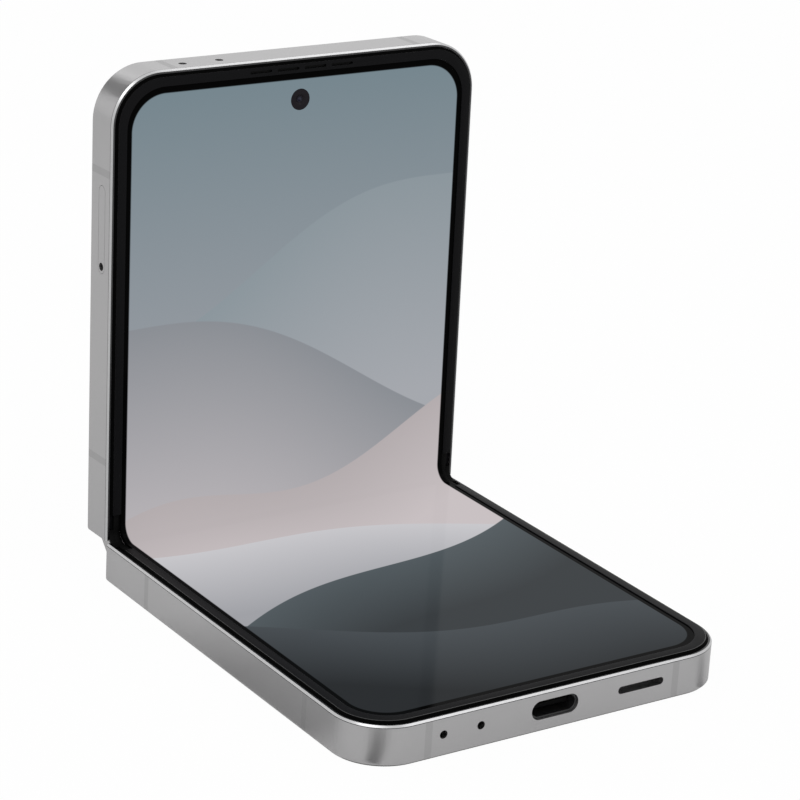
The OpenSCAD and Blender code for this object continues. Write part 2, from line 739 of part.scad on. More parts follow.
module hinge_bracket() {
    difference() {
        union() {
            box(module_x0, module_x1, -fold_a, fold_a, -spine_floor_d, -bracket_top_d);
            box(module_x0, module_x1, -fold_a - 0.7, fold_a + 0.7, -bracket_top_d - 0.8, -bracket_top_d);
            box(module_x0 - tab_l, module_x1 + tab_l, -fold_a, fold_a, -spine_floor_d, tab_t - spine_floor_d);
        }
        for (x = [module_x0 - tab_l / 2, module_x1 + tab_l / 2])
            translate([x, 0, -spine_floor_d - 1]) cylinder(r = screw_r + eps, h = 3);
    }
    ear(module_x0, ear_w, fold_a + 0.6, [-fold_a, -gear_r, gear_r, fold_a]);
    ear(mid_ear_x0, mid_ear_w, fold_a - knuckle_r - 0.1, [-gear_r, gear_r]);
    ear(ear2_x0, ear_w, fold_a + 0.6, [-fold_a, fold_a]);
    ear(ear3_x0, ear_w, fold_a + 0.6, [-fold_a, fold_a]);
}

module hinge_brackets() color([0.5, 0.5, 0.52]) both_sides() spine() hinge_bracket();

module hinge_pins() color([0.7, 0.7, 0.72]) both_sides() spine() {
    for (u = [-fold_a, fold_a])
        along_x(module_x0, module_x1 - module_x0) translate([u, -fold_h]) circle(r = pin_r);
    for (u = [-gear_r, gear_r])
        along_x(module_x0, mid_ear_x0 + mid_ear_w - module_x0) translate([u, -fold_h]) circle(r = pin_r);
}

module hinge_washers() color([0.7, 0.6, 0.35]) both_sides() spine() {
    for (u = [-fold_a, fold_a]) for (i = [0:washer_n - 1])
        along_x(washer_x0 + 0.1 + i * (washer_t + 0.1), washer_t) translate([u, -fold_h]) difference() {
            circle(r = knuckle_r);
            circle(r = bore_r);
        }
}

module hinge_screws() color([0.5, 0.5, 0.5]) both_sides() spine() {
    for (x = [module_x0 - tab_l / 2, module_x1 + tab_l / 2]) translate([x, 0, -spine_floor_d]) {
        translate([0, 0, -0.35]) cylinder(r = screw_r, h = tab_t + 0.35);
        translate([0, 0, tab_t]) cylinder(r = screw_head_r, h = 0.35);
    }
}

module at_cameras() for (i = [0, 1])
    translate([camera_x - i * camera_pitch, camera_s, -half_t - camera_h]) children();

module camera_rings() color([0.6, 0.6, 0.62]) upper_half() at_cameras() difference() {
    union() {
        cylinder(r1 = camera_r - 0.3, r2 = camera_r, h = 0.3);
        translate([0, 0, 0.3]) cylinder(r = camera_r, h = camera_h - 0.3);
        cylinder(r = camera_r - 0.6 - clear, h = camera_h + glass_t);
    }
    translate([0, 0, -1]) cylinder(r = camera_r - 1.5, h = 9);
    translate([0, 0, -1]) cylinder(r = camera_r - 1.1, h = 1.5);
}

module camera_lenses() color([0.05, 0.06, 0.1]) upper_half() at_cameras()
    translate([0, 0, 0.1]) cylinder(r = camera_r - 1.1 - eps, h = 0.4);

module camera_modules() color([0.12, 0.12, 0.13]) upper_half() at_cameras() {
    translate([0, 0, camera_h - 0.5]) cylinder(r = camera_r - 1.7, h = glass_t + 0.6);
    translate([-camera_box / 2, -camera_box / 2, camera_h + glass_t])
        cube([camera_box, camera_box, back_d - mid_d]);
}

module flash_lens() color([0.9, 0.88, 0.75]) upper_half()
    translate([camera_x - camera_pitch / 2, flash_s, -half_t - 0.1]) cylinder(r = flash_r, h = 0.1);

module front_camera() color([0.03, 0.03, 0.04]) upper_half() translate([0, front_camera_s, 0]) {
    translate([0, 0, -mid_d]) cylinder(d = front_camera_d - 0.3, h = mid_d + screen_h - 0.1);
    box(-front_camera_box / 2, front_camera_box / 2, -front_camera_box / 2, front_camera_box / 2,
        end_gap - main_board_d, -mid_d);
}

module earpiece() color([0.1, 0.1, 0.1]) upper_half()
    box(-earpiece_box[0] / 2, earpiece_box[0] / 2, inner_s1 - play - earpiece_box[1], inner_s1 - play,
        -mid_d - earpiece_box[2], -mid_d);

module main_board() color([0.05, 0.25, 0.15]) upper_half() difference() {
    union() {
        box(-board_half_w, board_half_w, upper_battery_s1 + battery_board_gap, board_step_s,
            -main_board_d - board_t, -main_board_d);
        box(-board_half_w, board_step_x, board_step_s - 1, board_s1, -main_board_d - board_t, -main_board_d);
    }
    screw_holes(upper_boss);
}

module board_shields() color([0.62, 0.62, 0.63]) upper_half() {
    box(shield_in[0] - board_half_w, board_half_w - shield_in[1], upper_battery_s1 + 2 * battery_board_gap,
        board_step_s - shield_in[2], -main_board_d, shield_t - main_board_d);
    translate([small_shield_in - board_half_w, board_step_s - shield_in[2] / 3, -main_board_d])
        cube(small_shield);
}

module card_reader() color([0.65, 0.65, 0.66]) upper_half() difference() {
    reader_half = tray_half + reader_gap;
    box(reader_gap - inner_w, tray_x1 + reader_gap + reader_wall, card_s - reader_half - reader_wall,
        card_s + reader_half + reader_wall, -main_board_d, reader_t - main_board_d);
    box(-half_w, tray_x1 + reader_gap, card_s - reader_half, card_s + reader_half,
        -key_d - tray_plate_t / 2 - card_gap, tray_plate_t / 2 + card_gap - key_d);
}

module card_tray() color([0.66, 0.66, 0.67]) upper_half() difference() {
    union() {
        side_slot(tray_s, key_d, tray_l, tray_h, -half_w, tray_face_t);
        box(tray_face_t - half_w - play, tray_x1, card_s - tray_half, card_s + tray_half,
            -key_d - tray_plate_t / 2, tray_plate_t / 2 - key_d);
    }
    box(card_x0 - card_gap, card_x0 + card[0] + card_gap, card_s - card[1] / 2 - card_gap,
        card_s + card[1] / 2 + card_gap, -card_floor_d, 1);
    translate([-half_w - 1, tray_s - tray_l / 2 + eject_in, -key_d]) rotate([0, 90, 0])
        cylinder(d = eject_d, h = tray_face_t + 2);
}

module sim_card() color([0.85, 0.85, 0.82]) upper_half()
    translate([card_x0, card_s - card[1] / 2, -card_floor_d]) cube(card);

// A side key: shank through the frame and a flange that keeps it in
module side_key(s, length) {
    side_slot(s, key_d, length, key_h, key_flange_x, half_w + key_out - key_flange_x);
    side_slot(s, key_d, length + 2 * flange_rim, key_h + 2 * flange_rim - flange_t, key_flange_x, flange_t);
}

module volume_key() color([0.66, 0.66, 0.67]) upper_half() side_key(volume_s, volume_l);
module power_key() color([0.6, 0.6, 0.61]) upper_half() side_key(power_s, power_l);

module key_switches() color([0.75, 0.7, 0.5]) upper_half() {
    box(switch_x - switch_t - switch_strip_t, switch_x - switch_t, power_s - power_l / 2,
        volume_s + volume_l / 2, -key_d - 1.3, -mid_d);
    for (s = [power_s, volume_s - volume_l / 2 + switch_in, volume_s + volume_l / 2 - switch_in])
        box(switch_x - switch_t, switch_x, s - switch_l / 2, s + switch_l / 2, -key_d - 0.8, 0.8 - key_d);
}

lower_frame();
lower_antenna_bands();
lower_bezel();
lower_display();
lower_back_glass();
lower_battery();
charging_coil();
lower_board();
usb_shell();
usb_tongue();
loudspeaker();
speaker_mesh();
lower_microphones();
vibration_motor();
lower_magnets();
lower_screws();
lower_hinge_arms();
lower_hinge_plate();
hinge_cover();
hinge_brackets();
hinge_pins();
hinge_washers();
hinge_screws();
idler_gear_lower_left();
idler_gear_lower_right();
idler_gear_upper_left();
idler_gear_upper_right();
display_fold();
hinge_caps();
hinge_flex_cable();
upper_frame();
upper_antenna_bands();
upper_bezel();
upper_display();
cover_glass();
cover_display();
camera_rings();
camera_lenses();
camera_modules();
flash_lens();
front_camera();
earpiece();
main_board();
board_shields();
upper_battery();
upper_microphones();
upper_magnets();
upper_screws();
upper_hinge_arms();
upper_hinge_plate();
card_reader();
card_tray();
sim_card();
volume_key();
power_key();
key_switches();
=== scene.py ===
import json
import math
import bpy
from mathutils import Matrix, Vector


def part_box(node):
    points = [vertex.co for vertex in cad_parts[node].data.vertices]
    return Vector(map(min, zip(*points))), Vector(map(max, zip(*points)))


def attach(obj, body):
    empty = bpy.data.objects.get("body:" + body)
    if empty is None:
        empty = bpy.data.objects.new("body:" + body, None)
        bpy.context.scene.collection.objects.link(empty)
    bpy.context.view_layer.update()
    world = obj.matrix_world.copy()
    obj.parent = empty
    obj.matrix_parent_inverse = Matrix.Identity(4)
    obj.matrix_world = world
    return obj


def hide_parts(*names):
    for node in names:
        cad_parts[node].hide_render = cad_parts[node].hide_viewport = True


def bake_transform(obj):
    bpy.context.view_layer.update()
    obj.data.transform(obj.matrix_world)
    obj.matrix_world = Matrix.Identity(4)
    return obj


bl_info = {
    "name": "Folding Phone Looks",
    "version": (1, 0, 0),
    "blender": (4, 5, 0),
    "location": "View3D > Sidebar > Folding Phone",
    "description": "Dresses the packed parts of a folding phone with its finishes, screen and lenses",
    "category": "Object",
}

from functools import partial

import bmesh
import bpy
from bpy.props import FloatProperty, FloatVectorProperty, PointerProperty
from mathutils import Matrix, Vector

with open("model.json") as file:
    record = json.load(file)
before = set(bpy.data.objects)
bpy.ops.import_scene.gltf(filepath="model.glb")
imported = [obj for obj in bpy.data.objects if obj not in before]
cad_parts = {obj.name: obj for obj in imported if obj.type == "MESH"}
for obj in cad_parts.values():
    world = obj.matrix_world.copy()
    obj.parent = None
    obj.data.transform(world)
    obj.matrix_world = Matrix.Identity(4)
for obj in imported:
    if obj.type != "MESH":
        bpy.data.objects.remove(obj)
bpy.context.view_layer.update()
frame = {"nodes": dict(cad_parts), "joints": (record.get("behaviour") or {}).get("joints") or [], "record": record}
MM = 0.001

# ---------------------------------------------------------------- places, worked out from the frame


def joint_place(name):
    """Where a joint's axis lies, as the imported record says."""
    found = [joint for joint in frame["joints"] if joint["name"] == name]
    if not found:
        raise RuntimeError(f"The frame has no joint {name}")
    return Vector(found[0]["pos_m"])


LOWER_AXIS = joint_place("lower_fold")
UPPER_AXIS = joint_place("upper_fold")
AXIS_LINE = UPPER_AXIS - LOWER_AXIS
REST_TURN = math.atan2(AXIS_LINE.z, AXIS_LINE.y)
FOLD_A = AXIS_LINE.length / 2  # from the middle of the fold to each axis
LOWER_LOW, LOWER_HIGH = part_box("lower_frame")
HALF_W = (LOWER_HIGH.x - LOWER_LOW.x) / 2
FOLD_H = LOWER_HIGH.z - LOWER_AXIS.z  # from an axis up to the metal's face
FOLD_Y = LOWER_AXIS.y + FOLD_A
HALF_L = FOLD_Y - LOWER_LOW.y
# Where the metal's faces of both halves would cross, from the fold line along a half
FOLD_S = FOLD_A * (1 - math.cos(REST_TURN)) + (FOLD_H - FOLD_A * math.sin(REST_TURN)) * math.tan(REST_TURN)

# A half's own frame: x across, y from the fold line to the far end, z out of the screen, 0 at the metal
LOWER = Matrix.Translation((0, FOLD_Y, LOWER_HIGH.z)) @ Matrix.Scale(-1, 4, (0, 1, 0))
UPPER_TURN = Matrix.Rotation(2 * REST_TURN, 4, "X")
UPPER = Matrix.Translation(UPPER_AXIS - UPPER_TURN @ Vector((0, FOLD_A, -FOLD_H))) @ UPPER_TURN
HALVES = {"lower": (LOWER, "lower_half"), "upper": (UPPER, "upper_half")}

ARC_STEPS = 20
CORNER_STEPS = 24
LATHE_STEPS = 64
WELD = 0.002 * MM  # joins the loose triangles of a CAD mesh
MERGE = 0.0005 * MM  # joins points that a tool here has made twice


# ---------------------------------------------------------------- sizes, colours and stage settings


class PhoneSizes(bpy.types.PropertyGroup):
    """Sizes of the pieces that are modelled here."""

    corner: FloatProperty(
        name="Corner", description="Radius of the two outer corners of each half",
        default=9.0 * MM, subtype="DISTANCE", unit="LENGTH")
    edge_cut: FloatProperty(
        name="Edge cut", description="Width of the chamfer along the frame's edges",
        default=0.30 * MM, subtype="DISTANCE", unit="LENGTH")
    # Width of the painted shade line on the wall below the front chamfer.
    painted_edge_shade: FloatProperty(
        name="Edge line", description="Width of the dark line beside the front chamfer",
        default=0.12 * MM, subtype="DISTANCE", unit="LENGTH")
    screen_rise: FloatProperty(
        name="Screen rise", description="Height of the screen's face over the metal",
        default=0.32 * MM, subtype="DISTANCE", unit="LENGTH")
    screen_depth: FloatProperty(
        name="Screen depth", description="Thickness of the screen's layers",
        default=0.62 * MM, subtype="DISTANCE", unit="LENGTH")
    screen_inset: FloatProperty(
        name="Screen inset", description="Distance of the screen's edge from the frame's outside",
        default=2.70 * MM, subtype="DISTANCE", unit="LENGTH")
    screen_corner: FloatProperty(
        name="Screen corner", description="Radius of the screen's outer corners",
        default=6.90 * MM, subtype="DISTANCE", unit="LENGTH")
    fold_radius: FloatProperty(
        name="Fold radius", description="Radius of the screen's face in the fold",
        default=3.0 * MM, subtype="DISTANCE", unit="LENGTH")
    picture_half_width: FloatProperty(
        name="Picture half width", description="Half the width of the lit picture",
        default=32.32 * MM, subtype="DISTANCE", unit="LENGTH")
    picture_end: FloatProperty(
        name="Picture end", description="Distance of the picture's end from the fold line",
        default=78.72 * MM, subtype="DISTANCE", unit="LENGTH")
    picture_corner: FloatProperty(
        name="Picture corner", description="Corner radius of the lit picture",
        default=6.25 * MM, subtype="DISTANCE", unit="LENGTH")
    cap_radius: FloatProperty(
        name="Cap radius", description="Radius of the hinge caps' face in the fold",
        default=2.0 * MM, subtype="DISTANCE", unit="LENGTH")
    cap_inset: FloatProperty(
        name="Cap inset", description="Distance of the caps' long strips from the frame's outside",
        default=1.5 * MM, subtype="DISTANCE", unit="LENGTH")
    cap_end: FloatProperty(
        name="Cap end", description="Distance of the caps' ends from the fold line",
        default=5.55 * MM, subtype="DISTANCE", unit="LENGTH")
    cap_depth: FloatProperty(
        name="Cap depth", description="Thickness of the hinge caps",
        default=0.6 * MM, subtype="DISTANCE", unit="LENGTH")
    cable_end: FloatProperty(
        name="Cable end", description="Distance of the flat cable's ends from the fold line",
        default=14.0 * MM, subtype="DISTANCE", unit="LENGTH")
    cable_under: FloatProperty(
        name="Cable depth below", description="Depth of the flat cable's face below the metal",
        default=2.0 * MM, subtype="DISTANCE", unit="LENGTH")
    cable_depth: FloatProperty(
        name="Cable thickness", description="Thickness of the flat cable",
        default=0.15 * MM, subtype="DISTANCE", unit="LENGTH")
    cable_radius: FloatProperty(
        name="Cable radius", description="Radius of the flat cable's face in the fold",
        default=2.8 * MM, subtype="DISTANCE", unit="LENGTH")
    earpiece_length: FloatProperty(
        name="Earpiece slot length", description="Length of one earpiece slot",
        default=4.3 * MM, subtype="DISTANCE", unit="LENGTH")
    earpiece_width: FloatProperty(
        name="Earpiece slot width", description="Width of one earpiece slot",
        default=0.5 * MM, subtype="DISTANCE", unit="LENGTH")
    earpiece_pitch: FloatProperty(
        name="Earpiece pitch", description="Distance between the earpiece slots",
        default=5.35 * MM, subtype="DISTANCE", unit="LENGTH")
    earpiece_in: FloatProperty(
        name="Earpiece inset", description="Distance of the slots from the half's far end",
        default=1.85 * MM, subtype="DISTANCE", unit="LENGTH")
    front_camera_radius: FloatProperty(
        name="Front camera radius", description="Radius of the dark disc over the front camera",
        default=1.86 * MM, subtype="DISTANCE", unit="LENGTH")


class PhoneColours(bpy.types.PropertyGroup):
    """Colours of the finishes, as linear values."""

    metal: FloatVectorProperty(
        name="Metal", description="Anodised metal of the frame", subtype="COLOR", size=3,
        default=(0.430, 0.426, 0.430), min=0, max=1)
    edge: FloatVectorProperty(
        name="Edge", description="Bright cut edge of the frame", subtype="COLOR", size=3,
        default=(0.50, 0.50, 0.505), min=0, max=1)
    band: FloatVectorProperty(
        name="Antenna band", description="Plastic bands in the frame", subtype="COLOR", size=3,
        default=(0.385, 0.382, 0.385), min=0, max=1)
    bezel: FloatVectorProperty(
        name="Bezel", description="Raised surround of the screen", subtype="COLOR", size=3,
        default=(0.0045, 0.0045, 0.005), min=0, max=1)
    back: FloatVectorProperty(
        name="Back", description="Frosted back of the lower half", subtype="COLOR", size=3,
        default=(0.42, 0.43, 0.45), min=0, max=1)
    cover: FloatVectorProperty(
        name="Cover", description="Dark glass over the cover screen", subtype="COLOR", size=3,
        default=(0.010, 0.011, 0.013), min=0, max=1)
    sky: FloatVectorProperty(
        name="Picture top", description="Colour of the picture's upper end", subtype="COLOR", size=3,
        default=(0.172, 0.230, 0.262), min=0, max=1)
    haze: FloatVectorProperty(
        name="Picture haze", description="Pale colour above the fold", subtype="COLOR", size=3,
        default=(0.340, 0.350, 0.380), min=0, max=1)
    blush: FloatVectorProperty(
        name="Picture blush", description="Warm pale colour round the fold", subtype="COLOR", size=3,
        default=(0.560, 0.510, 0.520), min=0, max=1)
    slate: FloatVectorProperty(
        name="Picture slate", description="Dark colour of the picture's lower end", subtype="COLOR", size=3,
        default=(0.034, 0.040, 0.044), min=0, max=1)


class StageSettings(bpy.types.PropertyGroup):
    """Camera, lamps and backdrop."""

    camera_at: FloatVectorProperty(
        name="Camera place", description="Where the camera stands", subtype="XYZ", size=3,
        default=(-0.264024, -0.381366, 0.209733))
    camera_azimuth: FloatProperty(
        name="Camera azimuth", description="Turn of the view to the right of +Y", subtype="ANGLE",
        default=math.radians(34.539))
    camera_drop: FloatProperty(
        name="Camera drop", description="Angle at which the camera looks down", subtype="ANGLE",
        default=math.radians(20.139))
    camera_roll: FloatProperty(
        name="Camera roll", description="Roll of the camera about its view", subtype="ANGLE",
        default=math.radians(3.386))
    lens: FloatProperty(
        name="Lens", description="Focal length on a 36 mm wide picture, in millimetres", default=135.0)
    key_power: FloatProperty(
        name="Key lamp", description="Power of the key lamp", default=2.2, unit="POWER")
    fill_power: FloatProperty(
        name="Fill lamp", description="Power of the fill lamp", default=0.6, unit="POWER")
    rim_power: FloatProperty(
        name="Rear lamp", description="Power of the lamp behind the phone", default=1.2, unit="POWER")
    sky_light: FloatProperty(name="Sky light", description="Strength of the even light", default=0.62)
    floor: FloatVectorProperty(
        name="Floor", description="Colour of the floor", subtype="COLOR", size=3,
        default=(0.90, 0.90, 0.90), min=0, max=1)
    floor_white: FloatProperty(
        name="Floor white", description="Share of plain white in the floor where it is seen", default=0.97,
        min=0, max=1)
    floor_mirrored: FloatProperty(
        name="Floor mirrored", description="Share of plain white in the floor's reflection", default=0.25,
        min=0, max=1)


def sizes():
    """The sizes that a user may change."""
    return bpy.context.scene.phone_sizes


def colours():
    """The colours that a user may change."""
    return bpy.context.scene.phone_colours


def stage():
    """The settings of the camera, lamps and backdrop."""
    return bpy.context.scene.phone_stage


# ---------------------------------------------------------------- shader maths


class Varying:
    """A value that varies over a surface. Python's operators on it add Math nodes."""

    def __init__(self, finish, socket):
        self.finish = finish
        self.socket = socket

    def math(self, operation, *others):
        """Adds a Math node on this value and the others."""
        node = self.finish.tree.nodes.new("ShaderNodeMath")
        node.operation = operation
        for spot, value in zip(node.inputs, (self, *others)):
            self.finish.plug(spot, value)
        return Varying(self.finish, node.outputs[0])

    def __add__(self, other):
        return self.math("ADD", other)

    def __sub__(self, other):
        return self.math("SUBTRACT", other)

    def __mul__(self, other):
        return self.math("MULTIPLY", other)

    def __radd__(self, other):
        return self.math("ADD", other)

    def __rmul__(self, other):
        return self.math("MULTIPLY", other)

    def __rsub__(self, other):
        return (self * -1) + other

    def size(self):
        """The value without its sign."""
        return self.math("ABSOLUTE")

    def at_least(self, other):
        """The greater of both."""
        return self.math("MAXIMUM", other)

    def wave(self):
        """The sine of the value."""
        return self.math("SINE")

    def root(self):
        """The square root of the value."""
        return self.math("SQRT")

    def step(self, low, high):
        """0 below low, 1 above high, and smooth between them."""
        return self.finish.value("ShaderNodeMapRange", {"interpolation_type": "SMOOTHSTEP"},
                                 {"Value": self, "From Min": low, "From Max": high})

    def span(self, low, high, out_low, out_high):
        """Carries low..high over to out_low..out_high, and holds the ends."""
        return self.finish.value("ShaderNodeMapRange", {},
                                 {"Value": self, "From Min": low, "From Max": high,
                                  "To Min": out_low, "To Max": out_high})


class Finish:
    """One material under construction."""

    def __init__(self, name, **constants):
        self.material = bpy.data.materials.new(name)
        self.material.use_nodes = True
        self.tree = self.material.node_tree
        self.shader = self.tree.nodes["Principled BSDF"]
        for socket, value in constants.items():
            self.shader.inputs[socket.replace("_", " ")].default_value = value

    def plug(self, spot, value):
        """Links a varying value to a socket, or sets a constant on it."""
        if isinstance(value, Varying):
            self.tree.links.new(value.socket, spot)
        elif isinstance(value, bpy.types.NodeSocket):
            self.tree.links.new(value, spot)
        elif spot.type == "RGBA" and len(value) == 3:
            spot.default_value = (*value, 1.0)
        else:
            spot.default_value = value

    def node(self, kind, settings, values):
        """Adds a node: its own settings first, then the values or links of its sockets."""
        made = self.tree.nodes.new(kind)
        for key, value in settings.items():
            setattr(made, key, value)
        for key, value in values.items():
            self.plug(made.inputs[key], value)
        return made

    def value(self, kind, settings, values):
        """Adds a node and gives its first output as a value."""
        return Varying(self, self.node(kind, settings, values).outputs[0])

    def place(self):
        """The piece's own coordinates."""
        return self.node("ShaderNodeTexCoord", {}, {}).outputs["Object"]

    def axes(self, vector):
        """The three components of a vector, as values."""
        made = self.node("ShaderNodeSeparateXYZ", {}, {"Vector": vector})
        return [Varying(self, made.outputs[i]) for i in range(3)]

    def scaled(self, vector, scale):
        """A vector stretched along its axes."""
        return self.node("ShaderNodeMapping", {}, {"Vector": vector, "Scale": scale}).outputs[0]

    def grain(self, vector, scale, detail=2.0):
        """Soft noise between 0 and 1."""
        return self.value("ShaderNodeTexNoise", {}, {"Vector": vector, "Scale": scale, "Detail": detail})

    def mix(self, factor, below, above):
        """One colour where the factor is 0 and the other where it is 1."""
        made = self.node("ShaderNodeMix", {"data_type": "RGBA"}, {})
        self.plug(made.inputs[0], factor)
        self.plug(made.inputs[6], below)
        self.plug(made.inputs[7], above)
        return made.outputs[2]

    def feed(self, socket, value):
        """Links or sets one socket of the main shader."""
        self.plug(self.shader.inputs[socket], value)

    def bump(self, height, strength, distance):
        """Raises the surface a little where the height is greater."""
        made = self.node("ShaderNodeBump", {}, {"Height": height})
        made.inputs["Strength"].default_value = strength
        made.inputs["Distance"].default_value = distance
        self.feed("Normal", made.outputs[0])

    def cloudy(self, colour, spread, factor):
        """Lets the main colour wander round one value by a spread either way."""
        self.feed("Base Color", self.mix(factor, tuple(c * (1 - spread) for c in colour),
                                         tuple(c * (1 + spread) for c in colour)))


finishes = {}


def finish(maker):
    """The material that a maker function builds, made once and then shared."""
    if maker.__name__ not in finishes:
        finishes[maker.__name__] = maker()
    return finishes[maker.__name__]


def anodised_metal():
    """Satin anodised frame with a fine bead-blasted grain."""
    made = Finish("anodised_metal", Metallic=1.0)
    fine = made.grain(made.place(), 9000.0, 3.0)
    cloud = made.grain(made.place(), 60.0)
    made.cloudy(colours().metal, 0.02, cloud.span(0.3, 0.7, 0.0, 1.0))
    made.feed("Roughness", fine * 0.06 + cloud * 0.02 + 0.30)
    made.bump(fine, 0.06, 0.00002)
    return made.material


def bright_edge():
    """Diamond-cut chamfer along the frame's edges."""
    made = Finish("bright_edge", Metallic=1.0)
    wear = made.grain(made.place(), 1500.0)
    made.feed("Base Color", made.mix(wear.span(0.35, 0.75, 0.0, 1.0), tuple(colours().edge),
                                     tuple(c * 0.95 for c in colours().edge)))
    made.feed("Roughness", wear * 0.04 + 0.27)
    return made.material


def painted_edge_shade():
    """Painted shade in a dark copy of the metal: the thin line where the anodised wall ends at the cut chamfer,
    the rim's flat top and the far back chamfer.
    """
    made = Finish("painted_edge_shade", Metallic=1.0)
    wear = made.grain(made.place(), 1500.0)
    # Painted shade: a metal colour far darker than the wall's own.
    made.feed("Base Color", made.mix(wear, (0.060, 0.060, 0.061), (0.080, 0.080, 0.081)))
    made.feed("Roughness", wear * 0.05 + 0.32)
    return made.material


def band_plastic():
    """Antenna bands, in a plastic that is tinted like the metal beside it."""
    made = Finish("band_plastic", Metallic=1.0)
    fine = made.grain(made.place(), 7000.0)
    made.cloudy(colours().band, 0.07, fine)
    made.feed("Roughness", fine * 0.1 + 0.38)
    return made.material


def bezel_plastic():
    """Moulded black surround with a fine matt texture."""
    made = Finish("bezel_plastic", Metallic=0.0, Specular_IOR_Level=0.05)
    fine = made.grain(made.place(), 8000.0)
    made.feed("Base Color", made.mix(fine, tuple(colours().bezel), tuple(c * 1.6 for c in colours().bezel)))
    made.feed("Roughness", fine * 0.12 + 0.36)
    made.bump(fine, 0.1, 0.00002)
    return made.material


def bezel_flank_painted_shade():
    """Painted shade: the bezel's sloping outer side, in a blacker, duller copy of the bezel plastic than its top.
    """
    made = Finish("bezel_flank_painted_shade", Metallic=0.0, Specular_IOR_Level=0.01)
    fine = made.grain(made.place(), 8000.0)
    # Painted shade: a near-black base colour for the outward slope.
    made.feed("Base Color", made.mix(fine, (0.0010, 0.0010, 0.0010), (0.0020, 0.0020, 0.0020)))
    made.feed("Roughness", fine * 0.1 + 0.6)
    return made.material


def bezel_rim_painted_highlight():
    """Painted highlight: the bezel's rounded outer edge, in a lighter, glossier copy of the black plastic so that
    it catches the light.
    """
    made = Finish("bezel_rim_painted_highlight", Metallic=0.0, Specular_IOR_Level=0.6)
    fine = made.grain(made.place(), 4000.0)
    # Painted highlight: a base colour lighter than the bezel's top.
    made.feed("Base Color", made.mix(fine, (0.012, 0.012, 0.012), (0.020, 0.020, 0.020)))
    made.feed("Roughness", fine * 0.08 + 0.30)
    return made.material


def cap_rubber():
    """Soft black rubber of the hinge caps."""
    made = Finish("cap_rubber", Metallic=0.0, Specular_IOR_Level=0.05)
    fine = made.grain(made.place(), 5000.0, 3.0)
    made.feed("Base Color", made.mix(fine, (0.0018, 0.0018, 0.0018), (0.0036, 0.0036, 0.0036)))
    made.feed("Roughness", fine * 0.2 + 0.5)
    made.bump(fine, 0.15, 0.00003)
    return made.material


def frosted_back():
    """Frosted silver back of the lower half."""
    made = Finish("frosted_back", Metallic=0.35, Coat_Roughness=0.25)
    fine = made.grain(made.place(), 6000.0)
    cloud = made.grain(made.place(), 18.0)
    made.cloudy(colours().back, 0.05, cloud)
    made.feed("Roughness", fine * 0.08 + 0.36)
    made.bump(fine, 0.05, 0.00002)
    return made.material


def cover_gloss():
    """Dark glossy glass of the cover and of the rear lenses."""
    made = Finish("cover_gloss", Metallic=0.0, Specular_IOR_Level=0.3)
    smear = made.grain(made.place(), 60.0, 3.0)
    smeared = tuple(c * 1.3 for c in colours().cover)
    made.feed("Base Color", made.mix(smear, tuple(colours().cover), smeared))
    made.feed("Roughness", smear * 0.05 + 0.05)
    return made.material


def camera_black():
    """Dark mask round the front camera, with a faint warm tint."""
    made = Finish("camera_black", Metallic=0.0, Specular_IOR_Level=0.04)
    tint = made.grain(made.place(), 500.0, 1.0)
    made.feed("Base Color", made.mix(tint, (0.015, 0.0135, 0.017), (0.019, 0.0165, 0.020)))
    made.feed("Roughness", tint * 0.05 + 0.22)
    return made.material


def fine_mesh():
    """Woven dark mesh of the sound openings."""
    made = Finish("fine_mesh", Metallic=0.0, Specular_IOR_Level=0.1)
    x, _, z = made.axes(made.place())
    weave = (x * 42000.0).wave() * (z * 42000.0).wave()
    threads = weave.span(-1.0, 1.0, 0.0, 1.0)
    made.feed("Base Color", made.mix(threads, (0.001, 0.001, 0.001), (0.004, 0.004, 0.004)))
    made.feed("Roughness", weave * 0.1 + 0.6)
    return made.material


def lens_glass():
    """Clear dark lens, with a faint blue tint."""
    made = Finish("lens_glass", Metallic=0.0, Specular_IOR_Level=0.25)
    tint = made.grain(made.place(), 700.0, 1.0)
    made.feed("Base Color", made.mix(tint, (0.004, 0.005, 0.012), (0.012, 0.010, 0.030)))
    made.feed("Roughness", tint * 0.03 + 0.03)
    return made.material


def lens_coating():
    """Violet and green anti-glare coating deep in a lens."""
    made = Finish("lens_coating", Metallic=0.6)
    tint = made.grain(made.place(), 900.0, 1.0)
    made.feed("Base Color", made.mix(tint.span(0.4, 0.6, 0.0, 1.0), (0.05, 0.03, 0.12), (0.02, 0.05, 0.07)))
    made.feed("Roughness", tint * 0.05 + 0.08)
    return made.material


def black_moulding():
    """Plain black moulded plastic."""
    made = Finish("black_moulding", Metallic=0.0)
    fine = made.grain(made.place(), 4000.0)
    made.feed("Base Color", made.mix(fine, (0.010, 0.010, 0.011), (0.018, 0.018, 0.019)))
    made.feed("Roughness", fine * 0.15 + 0.45)
    return made.material


def bare_steel():
    """Bare steel with fine streaks along x."""
    made = Finish("bare_steel", Metallic=1.0)
    streaks = made.grain(made.scaled(made.place(), (300.0, 3000.0, 3000.0)), 1.0, 3.0)
    made.feed("Base Color", made.mix(streaks, (0.42, 0.42, 0.43), (0.58, 0.58, 0.59)))
    made.feed("Roughness", streaks * 0.15 + 0.25)
    return made.material


def port_lining_painted_shade():
    """Nickel lining of the charging port, darkened as painted shade for the inside of the port."""
    made = Finish("port_lining_painted_shade", Metallic=1.0)
    wear = made.grain(made.place(), 2500.0)
    # Painted shade: a dark base colour instead of the metal's bright one.
    made.feed("Base Color", made.mix(wear, (0.055, 0.055, 0.056), (0.085, 0.085, 0.086)))
    made.feed("Roughness", wear * 0.1 + 0.42)
    return made.material


